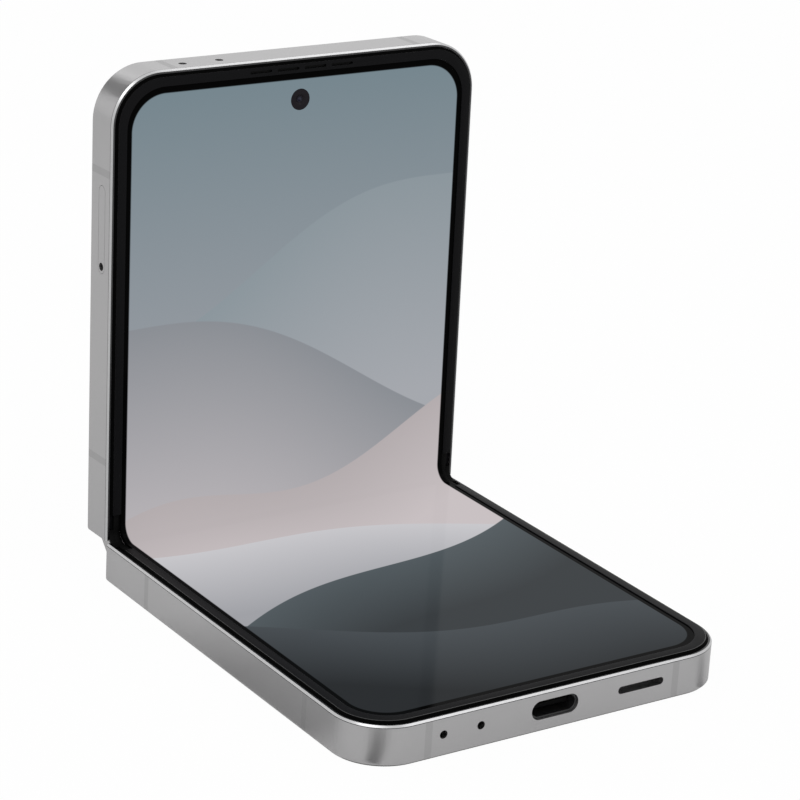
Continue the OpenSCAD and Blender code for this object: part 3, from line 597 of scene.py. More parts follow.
def gold_plate():
    """Gold plating and brass."""
    made = Finish("gold_plate", Metallic=1.0)
    fine = made.grain(made.place(), 3000.0)
    made.feed("Base Color", made.mix(fine, (0.70, 0.50, 0.22), (0.80, 0.60, 0.30)))
    made.feed("Roughness", fine * 0.1 + 0.22)
    return made.material


def copper_foil():
    """Bare copper."""
    made = Finish("copper_foil", Metallic=1.0)
    fine = made.grain(made.place(), 2500.0)
    made.feed("Base Color", made.mix(fine, (0.60, 0.28, 0.14), (0.72, 0.36, 0.20)))
    made.feed("Roughness", fine * 0.15 + 0.30)
    return made.material


def battery_wrap():
    """Dark wrap of the battery cells."""
    made = Finish("battery_wrap", Metallic=0.0)
    fine = made.grain(made.place(), 900.0, 3.0)
    made.feed("Base Color", made.mix(fine, (0.018, 0.018, 0.020), (0.030, 0.030, 0.033)))
    made.feed("Roughness", fine * 0.2 + 0.35)
    return made.material


def solder_mask():
    """Green board with a fine pattern of traces."""
    made = Finish("solder_mask", Metallic=0.0)
    x, y, z = made.axes(made.place())
    traces = ((x * 5000.0).wave() * (y * 3100.0 + z * 3100.0).wave()).step(0.35, 0.45)
    made.feed("Base Color", made.mix(traces, (0.004, 0.050, 0.022), (0.010, 0.090, 0.040)))
    made.feed("Roughness", traces * 0.1 + 0.35)
    return made.material


def card_plastic():
    """Pale plastic of the card in the tray."""
    made = Finish("card_plastic", Metallic=0.0)
    fine = made.grain(made.place(), 3000.0)
    made.feed("Base Color", made.mix(fine, (0.66, 0.66, 0.63), (0.72, 0.72, 0.69)))
    made.feed("Roughness", fine * 0.1 + 0.4)
    return made.material


def flash_resin():
    """Milky window over the flash."""
    made = Finish("flash_resin", Metallic=0.0)
    rings = made.grain(made.place(), 4000.0, 1.0)
    made.feed("Base Color", made.mix(rings, (0.70, 0.66, 0.45), (0.82, 0.79, 0.62)))
    made.feed("Roughness", rings * 0.1 + 0.2)
    return made.material


def rounded_field(u, v, half_u, half_v, corner):
    """Distance outside a rounded rectangle, negative inside it."""
    du = (u.size() - (half_u - corner)).at_least(0.0)
    dv = (v.size() - (half_v - corner)).at_least(0.0)
    return (du * du + dv * dv).root() - corner


def ridge(u, v, height, slope, sway, length, shift):
    """Signed distance below a rolling ridge line, in the picture's own units."""
    return (u * (1.0 / length) + shift).wave() * sway + u * slope + height - v


def lit_picture():
    """The lit screen: soft rolling ridges that run from a grey-blue top to a slate lower end."""
    made = Finish("lit_picture", Metallic=0.0, Roughness=0.08, Specular_IOR_Level=0.012)
    made.shader.inputs["Emission Strength"].default_value = 1.0
    tone = colours()
    unrolled = made.node("ShaderNodeUVMap", {"uv_map": "unrolled"}, {}).outputs[0]
    u, v, _ = made.axes(unrolled)
    soft = 0.12 * MM
    picture = made.mix(v.span(0.010, 0.078, 0.0, 1.0), tuple(tone.haze), tuple(tone.sky))
    blush_crest = tuple(c * 0.80 for c in tone.blush)
    deep_slate = tuple(c * 0.42 for c in tone.slate)
    ridges = (
        # height, slope, sway, length, shift, crest colour, colour lower down, fade
        (0.047, 0.34, 0.0042, 0.0120, 0.6, (0.255, 0.300, 0.330), (0.370, 0.385, 0.415), 0.040),
        (0.027, -0.30, 0.0050, 0.0150, 2.2, (0.250, 0.265, 0.290), (0.450, 0.430, 0.450), 0.034),
        (0.006, 0.22, 0.0040, 0.0110, 4.1, blush_crest, tuple(tone.blush), 0.022),
        (-0.014, -0.26, 0.0034, 0.0130, 1.0, (0.560, 0.555, 0.580), (0.340, 0.345, 0.370), 0.026),
        (-0.030, 0.40, 0.0044, 0.0140, 3.0, (0.075, 0.093, 0.103), tuple(tone.slate), 0.020),
        (-0.053, -0.34, 0.0040, 0.0120, 5.2, (0.056, 0.066, 0.074), deep_slate, 0.024),
    )
    for height, slope, sway, length, shift, crest, deep, fade in ridges:
        below = ridge(u, v, height, slope, sway, length, shift)
        body = made.mix(below.span(0.0, fade, 0.0, 1.0), crest, deep)
        picture = made.mix(below.step(-soft, soft), picture, body)
    edge = rounded_field(u, v, sizes().picture_half_width, picture_reach(), sizes().picture_corner)
    lit = edge.step(soft, -soft)
    made.feed("Emission Color", made.mix(edge.step(-soft, soft), picture, (0.0, 0.0, 0.0)))
    made.feed("Base Color", made.mix(lit, (0.0015, 0.0015, 0.0015), (0.010, 0.010, 0.011)))
    return made.material


# ---------------------------------------------------------------- mesh tools


def new_piece(name, mesh, *materials):
    """Puts a mesh into the scene as a piece at the origin."""
    for material in materials:
        mesh.materials.append(material)
    piece = bpy.data.objects.new(name, mesh)
    bpy.context.scene.collection.objects.link(piece)
    return piece


def piece_from(bm, name, *materials, smooth=30.0):
    """Ends a bmesh: normals outwards, shaded smooth up to the given angle."""
    if not bm.faces:
        raise RuntimeError(f"{name} has no faces")
    bmesh.ops.recalc_face_normals(bm, faces=bm.faces)
    mesh = bpy.data.meshes.new(name)
    bm.to_mesh(mesh)
    bm.free()
    mesh.shade_smooth()
    mesh.set_sharp_from_angle(angle=math.radians(smooth))
    return new_piece(name, mesh, *materials)


def merged_copy(node, name, rework=None, smooth=25.0):
    """A CAD node's shape with its loose triangles merged, then reworked."""
    if node not in frame["nodes"]:
        raise RuntimeError(f"The frame has no node {node}")
    bm = bmesh.new()
    bm.from_mesh(frame["nodes"][node].data)
    bmesh.ops.remove_doubles(bm, verts=bm.verts, dist=WELD)
    if rework:
        rework(bm)
    mesh = bpy.data.meshes.new(name)
    bm.to_mesh(mesh)
    bm.free()
    mesh.shade_smooth()
    mesh.set_sharp_from_angle(angle=math.radians(smooth))
    return mesh


def body_of(node):
    """The body that a CAD node moves with."""
    groups = frame["record"]["behaviour"]["bodies"]
    return next(body for body, members in groups.items() if node in members)


def refine(node, name, *makers, rework=None, smooth=25.0):
    """A finer-shaded piece that stands for a CAD node, in the same place."""
    piece = new_piece(name, merged_copy(node, name, rework, smooth), *[finish(m) for m in makers])
    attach(piece, body_of(node))
    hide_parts(node)
    return piece


def paint(node, maker):
    """Gives a CAD node a better material and leaves its shape."""
    if node not in frame["nodes"]:
        raise RuntimeError(f"The frame has no node {node}")
    mesh = frame["nodes"][node].data
    mesh.materials.clear()
    mesh.materials.append(finish(maker))


def push(bm, faces, offset):
    """Extrudes faces by an offset and returns the new faces."""
    made = bmesh.ops.extrude_face_region(bm, geom=faces)
    moved = [g for g in made["geom"] if isinstance(g, bmesh.types.BMVert)]
    bmesh.ops.translate(bm, verts=moved, vec=offset)
    return [g for g in made["geom"] if isinstance(g, bmesh.types.BMFace)]


def lathe(bm, profile):
    """Spins a profile of (radius, height) points about the z axis."""
    verts = [bm.verts.new((r, 0, z)) for r, z in profile]
    edges = [bm.edges.new(pair) for pair in zip(verts, verts[1:])]
    bmesh.ops.spin(bm, geom=verts + edges, cent=(0, 0, 0), axis=(0, 0, 1), dvec=(0, 0, 0),
                   angle=2 * math.pi, steps=LATHE_STEPS, use_merge=True, use_duplicate=False)
    bmesh.ops.remove_doubles(bm, verts=bm.verts, dist=MERGE)


def arc_start(radius, rise):
    """Where the straight part of a folded strip meets its bend, from the fold line."""
    return FOLD_S + (rise + radius) * math.tan(REST_TURN)


def picture_reach():
    """Half the picture's length along the unrolled face of the screen."""
    start = arc_start(sizes().fold_radius, sizes().screen_rise)
    return sizes().fold_radius * REST_TURN + sizes().picture_end - start


def bent_half(bm, x0, x1, start_s, corner, rise, depth, radius, hole=None):
    """One half of a strip that bends in the fold, in a half's own frame.

    The face outline starts as a rectangle whose far corners are rounded; its hinge side is spun
    about the bend's centre as far as the middle of the fold."""
    bend_s = arc_start(radius, rise)
    places = ((x0, bend_s), (x1, bend_s), (x1, start_s), (x0, start_s))
    corners = [bm.verts.new((x, s, rise)) for x, s in places]
    bm.faces.new(corners)
    if corner:
        bmesh.ops.bevel(bm, geom=corners[2:], offset=corner, offset_type="OFFSET", segments=CORNER_STEPS,
                        profile=0.5, affect="VERTICES", material=-1)
    if hole:
        bmesh.ops.delete(bm, geom=bm.faces[:], context="FACES_ONLY")
        at, hole_radius = hole
        bmesh.ops.create_circle(bm, segments=LATHE_STEPS, radius=hole_radius,
                                matrix=Matrix.Translation((0, at, rise)))
        bmesh.ops.triangle_fill(bm, edges=bm.edges[:], use_beauty=True, use_dissolve=False,
                                normal=(0, 0, 1))
    push(bm, bm.faces[:], (0, 0, -depth))
    bm.faces.ensure_lookup_table()
    hinge_face = [f for f in bm.faces if all(abs(v.co.y - bend_s) < MERGE for v in f.verts)]
    bmesh.ops.spin(bm, geom=hinge_face, cent=(0, bend_s, rise + radius), axis=(-1, 0, 0), dvec=(0, 0, 0),
                   angle=REST_TURN, steps=ARC_STEPS, use_merge=False, use_duplicate=False)
    inner = [f for f in hinge_face if f.is_valid]
    bmesh.ops.delete(bm, geom=inner, context="FACES_ONLY")
    bmesh.ops.remove_doubles(bm, verts=bm.verts, dist=MERGE)


def soften(bm, width, least=50.0, segments=2):
    """Rounds the edges whose faces turn by more than an angle in degrees."""
    sharp = [e for e in bm.edges if len(e.link_faces) == 2 and e.calc_face_angle(0) > math.radians(least)]
    bmesh.ops.bevel(bm, geom=sharp, offset=width, offset_type="OFFSET", segments=segments, profile=0.5,
                    affect="EDGES", material=-1, clamp_overlap=True)


def unroll(bm, sign):
    """Adds the map that a flat screen would have: across, and along from the middle of the fold."""
    layer = bm.loops.layers.uv.new("unrolled")
    radius, rise = sizes().fold_radius, sizes().screen_rise
    bend_s = arc_start(radius, rise)
    for face in bm.faces:
        for loop in face.loops:
            across, s, z = loop.vert.co
            if s >= bend_s:
                along = radius * REST_TURN + s - bend_s
            else:
                turned = math.atan2(bend_s - s, rise + radius - z)
                along = radius * (REST_TURN - turned)
            loop[layer].uv = (across, sign * along)


def front_camera_place():
    """Distance of the front camera from the fold line, along the upper half."""
    low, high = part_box("front_camera")
    return (UPPER.inverted() @ ((low + high) / 2)).y


def blend_half(piece):
    """Bakes a folded piece's place into its mesh."""
    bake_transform(piece)


def cut_line(bm, matrix):
    """Cuts the walls at the front chamfer and a line's width below it."""
    up = matrix.to_3x3() @ Vector((0, 0, 1))
    cut, line = sizes().edge_cut, sizes().painted_edge_shade
    for depth in (cut, cut + line):
        everything = bm.verts[:] + bm.edges[:] + bm.faces[:]
        at = matrix @ Vector((0, 0, -depth))
        bmesh.ops.bisect_plane(bm, geom=everything, dist=MERGE, plane_co=at, plane_no=up)


def round_edges(bm, width, least, segments):
    """Joins the flat faces of a CAD shape, then rounds its edges."""
    bmesh.ops.dissolve_limit(bm, angle_limit=math.radians(0.3), verts=bm.verts, edges=bm.edges)
    soften(bm, width, least, segments)


def outward_faces(mesh, matrix):
    """A half's faces with their normal and middle in its own frame, and whether they face outwards."""
    back = matrix.inverted()
    turn = back.to_3x3()
    for face in mesh.polygons:
        normal, at = turn @ face.normal, back @ face.center
        past = max(at.y - HALF_L + sizes().corner, 0.0)
        yield face, normal, at, normal.x * at.x + normal.y * past > 0


def mark_edges(mesh, matrix):
    """Gives the chamfers the bright finish, and painted shade to a line of the walls below the front ones and to
    the rim's flat top.

    The back chamfer at the far end gets the painted shade too, because it only mirrors what it lies on."""
    cut, line = sizes().edge_cut, sizes().painted_edge_shade
    slopes, largest = (0.55, 0.85), 80.0 * MM * MM  # a chamfer's slope and the area that it stays under
    upright, lying, far_end, near = 0.1, 0.95, 0.2, 0.01 * MM
    for face, normal, at, outward in outward_faces(mesh, matrix):
        if slopes[0] < abs(normal.z) < slopes[1] and face.area < largest:
            # Painted shade (index 2) on the far back chamfer, the bright finish (index 1) on the other chamfers.
            face.material_index = 2 if normal.z < 0 and normal.y > far_end else 1
        elif abs(normal.z) < upright and outward and -cut - line < at.z < -cut:
            # Painted shade on the wall's line below the front chamfer.
            face.material_index = 2
        elif normal.z > lying and abs(at.z) < near:
            # Painted shade on the rim's flat top.
            face.material_index = 2
        else:
            face.material_index = 0


# ---------------------------------------------------------------- one operator for each group of pieces


class PhoneOperator:
    """Runs a step's make function, which raises an error where it can't finish."""

    bl_options = {"REGISTER", "UNDO"}

    def execute(self, context):
        self.make()
        return {"FINISHED"}


class PHONE_OT_frames(PhoneOperator, bpy.types.Operator):
    """Makes both metal frames and their antenna bands"""

    bl_idname = "phone.frames"
    bl_label = "Frames"

    def make(self):
        for half, (matrix, _) in HALVES.items():
            cuts = partial(cut_line, matrix=matrix)
            for node, name, main in ((f"{half}_frame", f"{half}_metal_frame", anodised_metal),
                                     (f"{half}_antenna_bands", f"{half}_band_inserts", band_plastic)):
                # The third finish is the painted shade of the edges.
                piece = refine(node, name, main, bright_edge, painted_edge_shade, rework=cuts)
                mark_edges(piece.data, matrix)


class PHONE_OT_bezels(PhoneOperator, bpy.types.Operator):
    """Makes the raised surrounds of the screen"""

    bl_idname = "phone.bezels"
    bl_label = "Bezels"

    def make(self):
        flat, steep = 0.99, 0.68  # share of a face's normal that points out of the screen
        rounding = partial(round_edges, width=0.05 * MM, least=40.0, segments=2)
        for half, (matrix, _) in HALVES.items():
            rim = refine(f"{half}_bezel", f"{half}_raised_bezel", bezel_plastic, bezel_flank_painted_shade, bezel_rim_painted_highlight,
                         rework=rounding)
            # Index 1 gets the flank's painted shade, and index 2 the rounded outer edge's painted highlight.
            for face, normal, at, outward in outward_faces(rim.data, matrix):
                if not outward or at.z <= 0 or normal.z > flat:
                    face.material_index = 0
                elif normal.z > steep:
                    face.material_index = 2
                else:
                    face.material_index = 1


class PHONE_OT_screen(PhoneOperator, bpy.types.Operator):
    """Makes the folding screen with its lit picture, in two pieces that meet in the fold"""

    bl_idname = "phone.screen"
    bl_label = "Screen"

    def make(self):
        size = sizes()
        x_end = HALF_W - size.screen_inset
        camera_hole = (front_camera_place(), size.front_camera_radius + 0.02 * MM)
        for half, sign, hole in (("lower", -1, None), ("upper", 1, camera_hole)):
            bm = bmesh.new()
            bent_half(bm, -x_end, x_end, HALF_L - size.screen_inset, size.screen_corner, size.screen_rise,
                      size.screen_depth, size.fold_radius, hole)
            unroll(bm, sign)
            bmesh.ops.transform(bm, matrix=HALVES[half][0], verts=bm.verts)
            panel = piece_from(bm, f"{half}_screen", finish(lit_picture))
            blend_half(panel)
            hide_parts(f"{half}_display", "display_fold")


class PHONE_OT_caps(PhoneOperator, bpy.types.Operator):
    """Makes the flexible caps beside the fold"""

    bl_idname = "phone.caps"
    bl_label = "Hinge caps"

    def make(self):
        size = sizes()
        clear, straight, rounding = 0.02 * MM, 0.2 * MM, 0.04 * MM
        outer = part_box("hinge_caps")[1].x
        inner, middle = HALF_W - size.screen_inset + clear, HALF_W - size.cap_inset
        strips = {
            "long": (inner, middle, size.cap_end),
            "short": (middle, outer, arc_start(size.cap_radius, 0.0) + straight),
        }
        for side, name in ((-1, "left"), (1, "right")):
            for strip, (near, far, end) in strips.items():
                spans = sorted((side * near, side * far))
                for half in HALVES:
                    bm = bmesh.new()
                    bent_half(bm, spans[0], spans[1], end, 0, 0.0, size.cap_depth, size.cap_radius)
                    soften(bm, rounding)
                    bmesh.ops.transform(bm, matrix=HALVES[half][0], verts=bm.verts)
                    cap = piece_from(bm, f"{half}_hinge_cap_{name}_{strip}", finish(cap_rubber))
                    blend_half(cap)
                    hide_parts("hinge_caps")


class PHONE_OT_flex_cable(PhoneOperator, bpy.types.Operator):
    """Makes the flat cable that runs through the fold, in two pieces that meet in it"""

    bl_idname = "phone.flex_cable"
    bl_label = "Flex cable"

    def make(self):
        size = sizes()
        low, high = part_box("hinge_flex_cable")
        for half in HALVES:
            bm = bmesh.new()
            bent_half(bm, low.x, high.x, size.cable_end, 0, -size.cable_under, size.cable_depth,
                      size.cable_radius)
            bmesh.ops.transform(bm, matrix=HALVES[half][0], verts=bm.verts)
            cable = piece_from(bm, f"{half}_flex_cable", finish(copper_foil))
            blend_half(cable)
            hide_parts("hinge_flex_cable")


class PHONE_OT_front_camera(PhoneOperator, bpy.types.Operator):
    """Makes the front camera: dark window, ring and lens"""

    bl_idname = "phone.front_camera"
    bl_label = "Front camera"

    def make(self):
        radius, rise = sizes().front_camera_radius, sizes().screen_rise
        at = UPPER @ Matrix.Translation((0, front_camera_place(), 0))
        foot, rounding, well = -1.35 * MM, 0.05 * MM, rise - 0.26 * MM
        lip, throat, floor, step = 0.95 * MM, 0.90 * MM, 0.60 * MM, 0.04 * MM
        bm = bmesh.new()
        lathe(bm, ((0.0, foot), (radius, foot), (radius, rise - rounding), (radius - rounding, rise),
                   (lip, rise), (throat, rise - step), (floor, well), (0.0, well)))
        bmesh.ops.transform(bm, matrix=at, verts=bm.verts)
        window = piece_from(bm, "front_camera_window", finish(camera_black))
        lens_radius, steps, half_angle = 0.45 * MM, 10, math.radians(62)
        middle, seat, collar = rise - 0.46 * MM, rise - 0.28 * MM, 0.50 * MM
        angles = [half_angle * (1 - i / steps) for i in range(steps + 1)]
        dome = [(lens_radius * math.sin(a), middle + lens_radius * math.cos(a)) for a in angles]
        bm = bmesh.new()
        lathe(bm, ((0.0, seat), (collar, seat), (collar, dome[0][1] - 0.01 * MM), *dome))
        bmesh.ops.transform(bm, matrix=at, verts=bm.verts)
        lens = piece_from(bm, "front_camera_lens", finish(lens_glass))
        for piece in (window, lens):
            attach(piece, "upper_half")
        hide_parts("front_camera")


class PHONE_OT_earpiece(PhoneOperator, bpy.types.Operator):
    """Makes the dark mesh behind the earpiece's slots"""

    bl_idname = "phone.earpiece"
    bl_label = "Earpiece mesh"

    def make(self):
        size = sizes()
        slots, height, depth = 4, 0.12 * MM, 0.6 * MM
        radius = size.earpiece_width / 2 - 0.01 * MM
        ends = (size.earpiece_length - size.earpiece_width) / 2
        bm = bmesh.new()
        for i in range(slots):
            middle = (i - (slots - 1) / 2) * size.earpiece_pitch
            disc = bmesh.ops.create_circle(bm, cap_ends=True, segments=24, radius=radius)
            for vert in disc["verts"]:
                vert.co.x += middle + math.copysign(ends, vert.co.x)
                vert.co.y += HALF_L - size.earpiece_in
                vert.co.z = height
        push(bm, bm.faces[:], (0, 0, -depth))
        bmesh.ops.transform(bm, matrix=UPPER, verts=bm.verts)
        mesh_strip = piece_from(bm, "earpiece_mesh", finish(fine_mesh))
        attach(mesh_strip, "upper_half")


class PHONE_OT_rear_cameras(PhoneOperator, bpy.types.Operator):
    """Makes the rear cameras: rings, cover lenses, lens barrels and the flash"""

    bl_idname = "phone.rear_cameras"
    bl_label = "Rear cameras"

    def make(self):
        refine("camera_rings", "camera_ring_pair", anodised_metal)
        refine("flash_lens", "flash_window", flash_resin)
        low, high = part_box("camera_lenses")
        middle = UPPER.inverted() @ ((low + high) / 2)
        radius = (high.z - low.z) / 2
        across = (high.x - low.x) / 2 - radius
        edge = radius / MM
        glass_profile = ((0.0, 0.10), (edge, 0.10), (edge, -0.16), (edge - 0.06, -0.20), (2.9, -0.20),
                         (2.7, -0.12), (0.0, -0.12))
        eye_profile = ((0.0, -0.10), (2.6, -0.10), (2.5, -0.16), (1.6, -0.185), (1.5, -0.15), (1.2, -0.17),
                       (0.6, -0.19), (0.0, -0.195))
        parts = (("glass", glass_profile, cover_gloss), ("eye", eye_profile, lens_coating))
        for name, x in (("outer", middle.x + across), ("inner", middle.x - across)):
            at = UPPER @ Matrix.Translation((x, middle.y, middle.z))
            for part, profile, maker in parts:
                bm = bmesh.new()
                lathe(bm, [(r * MM, height * MM) for r, height in profile])
                bmesh.ops.transform(bm, matrix=at, verts=bm.verts)
                piece = piece_from(bm, f"{name}_camera_{part}", finish(maker))
                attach(piece, "upper_half")
                if part == "glass":
                    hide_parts("camera_lenses")
        paint("camera_modules", black_moulding)


class PHONE_OT_backs(PhoneOperator, bpy.types.Operator):
    """Makes the frosted back and the dark cover glass"""

    bl_idname = "phone.backs"
    bl_label = "Backs"

    def make(self):
        refine("lower_back_glass", "frosted_back_panel", frosted_back)
        refine("cover_glass", "dark_cover_panel", cover_gloss)
        paint("cover_display", cover_gloss)


class PHONE_OT_ports(PhoneOperator, bpy.types.Operator):
    """Makes the charging port with its contacts, the speaker mesh, the card tray and the keys"""

    bl_idname = "phone.ports"
    bl_label = "Ports and keys"

    def make(self):
        refine("usb_shell", "charging_port_shell", port_lining_painted_shade)
        refine("usb_tongue", "charging_port_tongue", cap_rubber)
        self.make_contacts()
        refine("speaker_mesh", "speaker_grille", black_moulding)
        refine("card_tray", "card_tray_body", anodised_metal)
        refine("sim_card", "card_in_tray", card_plastic)
        rounding = partial(round_edges, width=0.10 * MM, least=60.0, segments=6)
        for node, name in (("volume_key", "volume_rocker"), ("power_key", "power_button")):
            refine(node, name, anodised_metal, rework=rounding, smooth=12.0)

    def make_contacts(self):
        """Twelve plated contacts on each side of the port's tongue."""
        low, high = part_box("usb_tongue")
        count, pitch, width, length, rise, inset = 12, 0.5 * MM, 0.26 * MM, 3.2 * MM, 0.03 * MM, 0.3 * MM
        size = Matrix.Diagonal((width, length, 2 * rise, 1))
        bm = bmesh.new()
        for level in (low.z, high.z):
            for i in range(count):
                x = (i - (count - 1) / 2) * pitch
                at = Matrix.Translation((x, low.y + inset + length / 2, level))
                cube = bmesh.ops.create_cube(bm, size=1.0)
                bmesh.ops.transform(bm, matrix=at @ size, verts=cube["verts"])
        contacts = piece_from(bm, "charging_port_contacts", finish(gold_plate))
        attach(contacts, "lower_half")


class PHONE_OT_hinge(PhoneOperator, bpy.types.Operator):
    """Makes the hinge cover and finishes the hinge's metal parts"""

    bl_idname = "phone.hinge"
    bl_label = "Hinge"

    def make(self):
        refine("hinge_cover", "hinge_spine_cover", anodised_metal)
        for half in HALVES:
            refine(f"{half}_hinge_arms", f"{half}_geared_arms", bare_steel)
            paint(f"{half}_hinge_plate", bare_steel)
        for node in frame["nodes"]:
            if node.startswith("idler_gear"):
                paint(node, gold_plate)
        for node in ("hinge_brackets", "hinge_pins", "hinge_screws"):
            paint(node, bare_steel)
        paint("hinge_washers", gold_plate)


class PHONE_OT_insides(PhoneOperator, bpy.types.Operator):
    """Finishes what lies inside: boards, batteries, coil, sound parts, magnets and screws"""

    bl_idname = "phone.insides"
    bl_label = "Insides"

    def make(self):
        inside = {
            battery_wrap: ("lower_battery", "upper_battery"),
            solder_mask: ("lower_board", "main_board"),
            copper_foil: ("charging_coil",),
            bare_steel: ("board_shields", "card_reader", "vibration_motor", "lower_magnets",
                         "upper_magnets", "lower_screws", "upper_screws"),
            gold_plate: ("key_switches",),
            black_moulding: ("loudspeaker", "earpiece"),
            fine_mesh: ("lower_microphones", "upper_microphones"),
        }
        for maker, nodes in inside.items():
            for node in nodes:
                paint(node, maker)


# ---------------------------------------------------------------- stage


def seen_directly(tree, seen=1.0, mirrored=1.0):
    """The share seen for the camera, the mirrored share for reflected and refracted rays, else 0."""
    path = tree.nodes.new("ShaderNodeLightPath")
    total = None
    shares = {"Is Camera Ray": seen, "Is Glossy Ray": mirrored, "Is Transmission Ray": mirrored}
    for ray, share in shares.items():
        part = tree.nodes.new("ShaderNodeMath")
        part.operation = "MULTIPLY"
        tree.links.new(path.outputs[ray], part.inputs[0])
        part.inputs[1].default_value = share
        if total:
            either = tree.nodes.new("ShaderNodeMath")
            either.operation = "MAXIMUM"
            tree.links.new(total, either.inputs[0])
            tree.links.new(part.outputs[0], either.inputs[1])
            part = either
        total = part.outputs[0]
    return total


def floor_finish():
    """White paper: shows as white where it is seen, and keeps a part of the object's shadow."""
    made = Finish("floor_paper", Roughness=0.8, Specular_IOR_Level=0.1)
    fibre = made.grain(made.place(), 40.0)
    made.feed("Base Color", made.mix(fibre, tuple(c * 0.99 for c in stage().floor), tuple(stage().floor)))
    white = made.node("ShaderNodeEmission", {}, {"Color": (1.0, 1.0, 1.0, 1.0), "Strength": 1.0})
    share = seen_directly(made.tree, stage().floor_white, stage().floor_mirrored)
    both = made.node("ShaderNodeMixShader", {}, {0: share, 1: made.shader.outputs[0], 2: white.outputs[0]})
    output = made.tree.nodes["Material Output"]
    made.tree.links.new(both.outputs[0], output.inputs["Surface"])
    return made.material


def lamp(name, at, width, height, power):
    """A soft rectangular lamp that looks at the middle of the phone."""
    aim = Vector((0, 0, 0.04))
    data = bpy.data.lights.new(name, "AREA")
    data.shape = "RECTANGLE"
    data.size = width
    data.size_y = height
    data.energy = power
    made = bpy.data.objects.new(name, data)
    made.location = at
    made.rotation_euler = (aim - Vector(at)).to_track_quat("-Z", "Y").to_euler()
    bpy.context.scene.collection.objects.link(made)


def card_cloth(name, shade):
    """Matt cloth of a reflected card, in an even shade of grey."""
    made = Finish(name, Metallic=0.0, Specular_IOR_Level=0.1)
    cloth = made.grain(made.place(), 400.0)
    made.feed("Base Color", made.mix(cloth, (shade * 0.9,) * 3, (shade * 1.1,) * 3))
    made.feed("Roughness", cloth * 0.1 + 0.8)
    return made.material


def black_card():
    """The darkest card."""
    return card_cloth("black_card", 0.015)


def grey_card():
    """A card of middle grey."""
    return card_cloth("grey_card", 0.33)


def pale_card():
    """A card of pale grey."""
    return card_cloth("pale_card", 0.55)


def painted_wall_shade_card():
    """Painted shade on the floor beside the lower half's long wall, seen only in the wall's reflection: darker
    along the wall and fading out at both ends.
    """
    made = Finish("painted_wall_shade_card", Metallic=0.0, Specular_IOR_Level=0.1)
    cloth = made.grain(made.place(), 400.0)
    along = made.axes(made.place())[1]
    near_end, far_end, pale, dark = (-0.036, -0.028), (-0.006, 0.016), 0.95, 0.57
    # Mask of the painted shade: dark along the wall, pale towards both ends.
    depth = along.span(*near_end, 0.0, 1.0) * along.span(*far_end, 1.0, 0.0)
    made.feed("Base Color", made.mix(depth, (pale,) * 3, (dark,) * 3))
    made.feed("Roughness", cloth * 0.1 + 0.8)
    return made.material


def reflected_card(name, at, turn, width, height, maker=black_card, fan=0.0):
    """A card that only shows in reflections; fan makes it narrower towards its own -X end."""
    bm = bmesh.new()
    bmesh.ops.create_grid(bm, x_segments=4, y_segments=4, size=0.5)
    for vert in bm.verts:
        vert.co.y *= 1 + 2 * fan * vert.co.x
    size = Matrix.Diagonal((width, height, 1, 1))
    bmesh.ops.transform(bm, matrix=Matrix.Translation(at) @ turn @ size, verts=bm.verts)
    card = piece_from(bm, name, finish(maker))
    card.visible_camera = False
    card.visible_diffuse = False
    card.visible_shadow = False
    card.visible_transmission = False


def make_world():
    """Even pale light; the camera and reflections see white."""
    world = bpy.data.worlds.new("studio")
    world.use_nodes = True
    tree = world.node_tree
    background = tree.nodes["Background"]
    strength = tree.nodes.new("ShaderNodeMix")
    strength.data_type = "FLOAT"
    tree.links.new(seen_directly(tree), strength.inputs[0])
    strength.inputs[2].default_value = stage().sky_light
    strength.inputs[3].default_value = 1.0
    tree.links.new(strength.outputs[0], background.inputs["Strength"])
    background.inputs["Color"].default_value = (1.0, 1.0, 1.0, 1.0)
    bpy.context.scene.world = world


def camera_matrix():
    """Stands the camera at its place: azimuth, drop and roll of the view."""
    settings = stage()
    azimuth, drop = settings.camera_azimuth, settings.camera_drop
    view = Vector((math.sin(azimuth) * math.cos(drop), math.cos(azimuth) * math.cos(drop), -math.sin(drop)))
    right = view.cross(Vector((0, 0, 1))).normalized()
    up = right.cross(view)
    basis = Matrix((right, up, -view)).transposed().to_4x4()
    return Matrix.Translation(settings.camera_at) @ basis @ Matrix.Rotation(settings.camera_roll, 4, "Z")


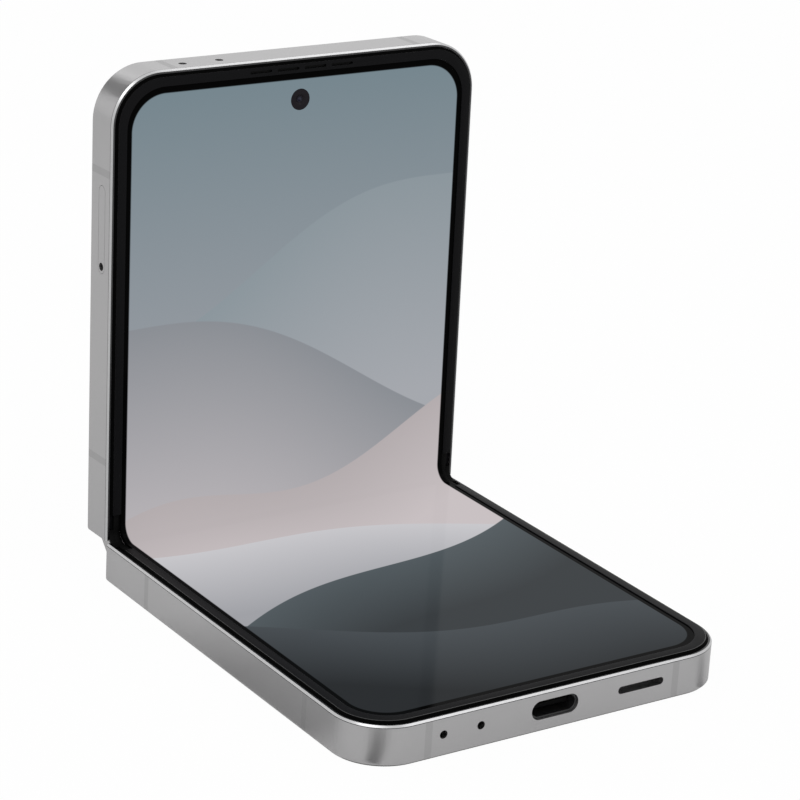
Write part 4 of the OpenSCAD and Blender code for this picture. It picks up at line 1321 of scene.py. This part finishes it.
class PHONE_OT_stage(PhoneOperator, bpy.types.Operator):
    """Makes the floor, lamps, even light and camera"""

    bl_idname = "phone.stage"
    bl_label = "Stage"

    def make(self):
        settings = stage()
        bm = bmesh.new()
        bmesh.ops.create_grid(bm, x_segments=8, y_segments=8, size=3.0)
        floor = piece_from(bm, "floor", floor_finish())
        lamps = (
            # name, place, width, height, power
            ("key_lamp", (-0.55, -0.35, 0.75), 0.7, 0.5, settings.key_power),
            ("fill_lamp", (0.45, -0.30, 0.75), 0.5, 0.3, settings.fill_power),
            ("back_lamp", (-0.25, 0.90, 0.95), 0.6, 0.6, settings.rim_power),
        )
        for row in lamps:
            lamp(*row)
        self.make_cards()
        make_world()
        self.make_camera()
        bpy.context.scene.view_settings.view_transform = "Standard"

    def make_cards(self):
        """Cards seen only in reflections that paint the soft dark bands into the frame's walls and corners:
        painted reflections.
        """
        corner, above = Vector((-0.033, 0.037, 0.086)), Vector((-0.078, 0.135, 0.160))
        facing = (corner - above).to_track_quat("Z", "Y").to_matrix().to_4x4()
        side = 0.075
        # Painted reflection: a dark card above and behind the far corner.
        reflected_card("corner_card", above, facing, side, side)
        # Painted shade lying beside the lower half's long wall, seen only in its reflection.
        beside_wall, width, length = (-0.0431, -0.0100, 0.0002), 0.0138, 0.056
        reflected_card("painted_wall_shade_card", beside_wall, Matrix(), width, length, painted_wall_shade_card)
        # Painted reflections: grey and pale cards on the floor at the front corners.
        corner_cards = (
            # name, place, heading in degrees, width, material
            ("left_wide_card", (-0.0370, -0.0500, 0.0002), -121, 0.0075, pale_card),
            ("left_card", (-0.0370, -0.0500, 0.0003), -121, 0.0038, grey_card),
            ("right_card", (0.0370, -0.0473, 0.0002), -16, 0.0038, pale_card),
        )
        length, fan = 0.014, 0.6
        for name, at, heading, width, maker in corner_cards:
            turn = Matrix.Rotation(math.radians(heading), 4, "Z")
            reflected_card(name, at, turn, length, width, maker, fan)

    def make_camera(self):
        """The camera that the photo was taken with, as solved from its edges."""
        data = bpy.data.cameras.new("camera")
        data.sensor_width = 36.0
        data.lens = stage().lens
        data.clip_start = 0.01
        camera = bpy.data.objects.new("camera", data)
        camera.matrix_world = camera_matrix()
        bpy.context.scene.collection.objects.link(camera)
        bpy.context.scene.camera = camera


# ---------------------------------------------------------------- panel and registration

STEPS = (PHONE_OT_stage, PHONE_OT_frames, PHONE_OT_bezels, PHONE_OT_screen, PHONE_OT_caps,
         PHONE_OT_flex_cable, PHONE_OT_front_camera, PHONE_OT_earpiece, PHONE_OT_rear_cameras,
         PHONE_OT_backs, PHONE_OT_ports, PHONE_OT_hinge, PHONE_OT_insides)


class PHONE_PT_panel(bpy.types.Panel):
    """Lists the steps that dress the phone"""

    bl_idname = "PHONE_PT_panel"
    bl_label = "Folding Phone"
    bl_space_type = "VIEW_3D"
    bl_region_type = "UI"
    bl_category = "Folding Phone"

    def draw(self, context):
        for step in STEPS:
            self.layout.operator(step.bl_idname)


GROUPS = {"phone_sizes": PhoneSizes, "phone_colours": PhoneColours, "phone_stage": StageSettings}
CLASSES = (*GROUPS.values(), *STEPS, PHONE_PT_panel)


def register():
    """Registers the classes and hangs the settings on the scene."""
    for item in CLASSES:
        bpy.utils.register_class(item)
    for name, group in GROUPS.items():
        setattr(bpy.types.Scene, name, PointerProperty(type=group))


def unregister():
    """Undoes register."""
    for name in GROUPS:
        delattr(bpy.types.Scene, name)
    for item in reversed(CLASSES):
        bpy.utils.unregister_class(item)


def main():
    """Registers the add-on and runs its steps."""
    register()
    for step in STEPS:
        group, name = step.bl_idname.split(".")
        getattr(getattr(bpy.ops, group), name)()
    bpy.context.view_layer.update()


if __name__ == "__main__":
    main()
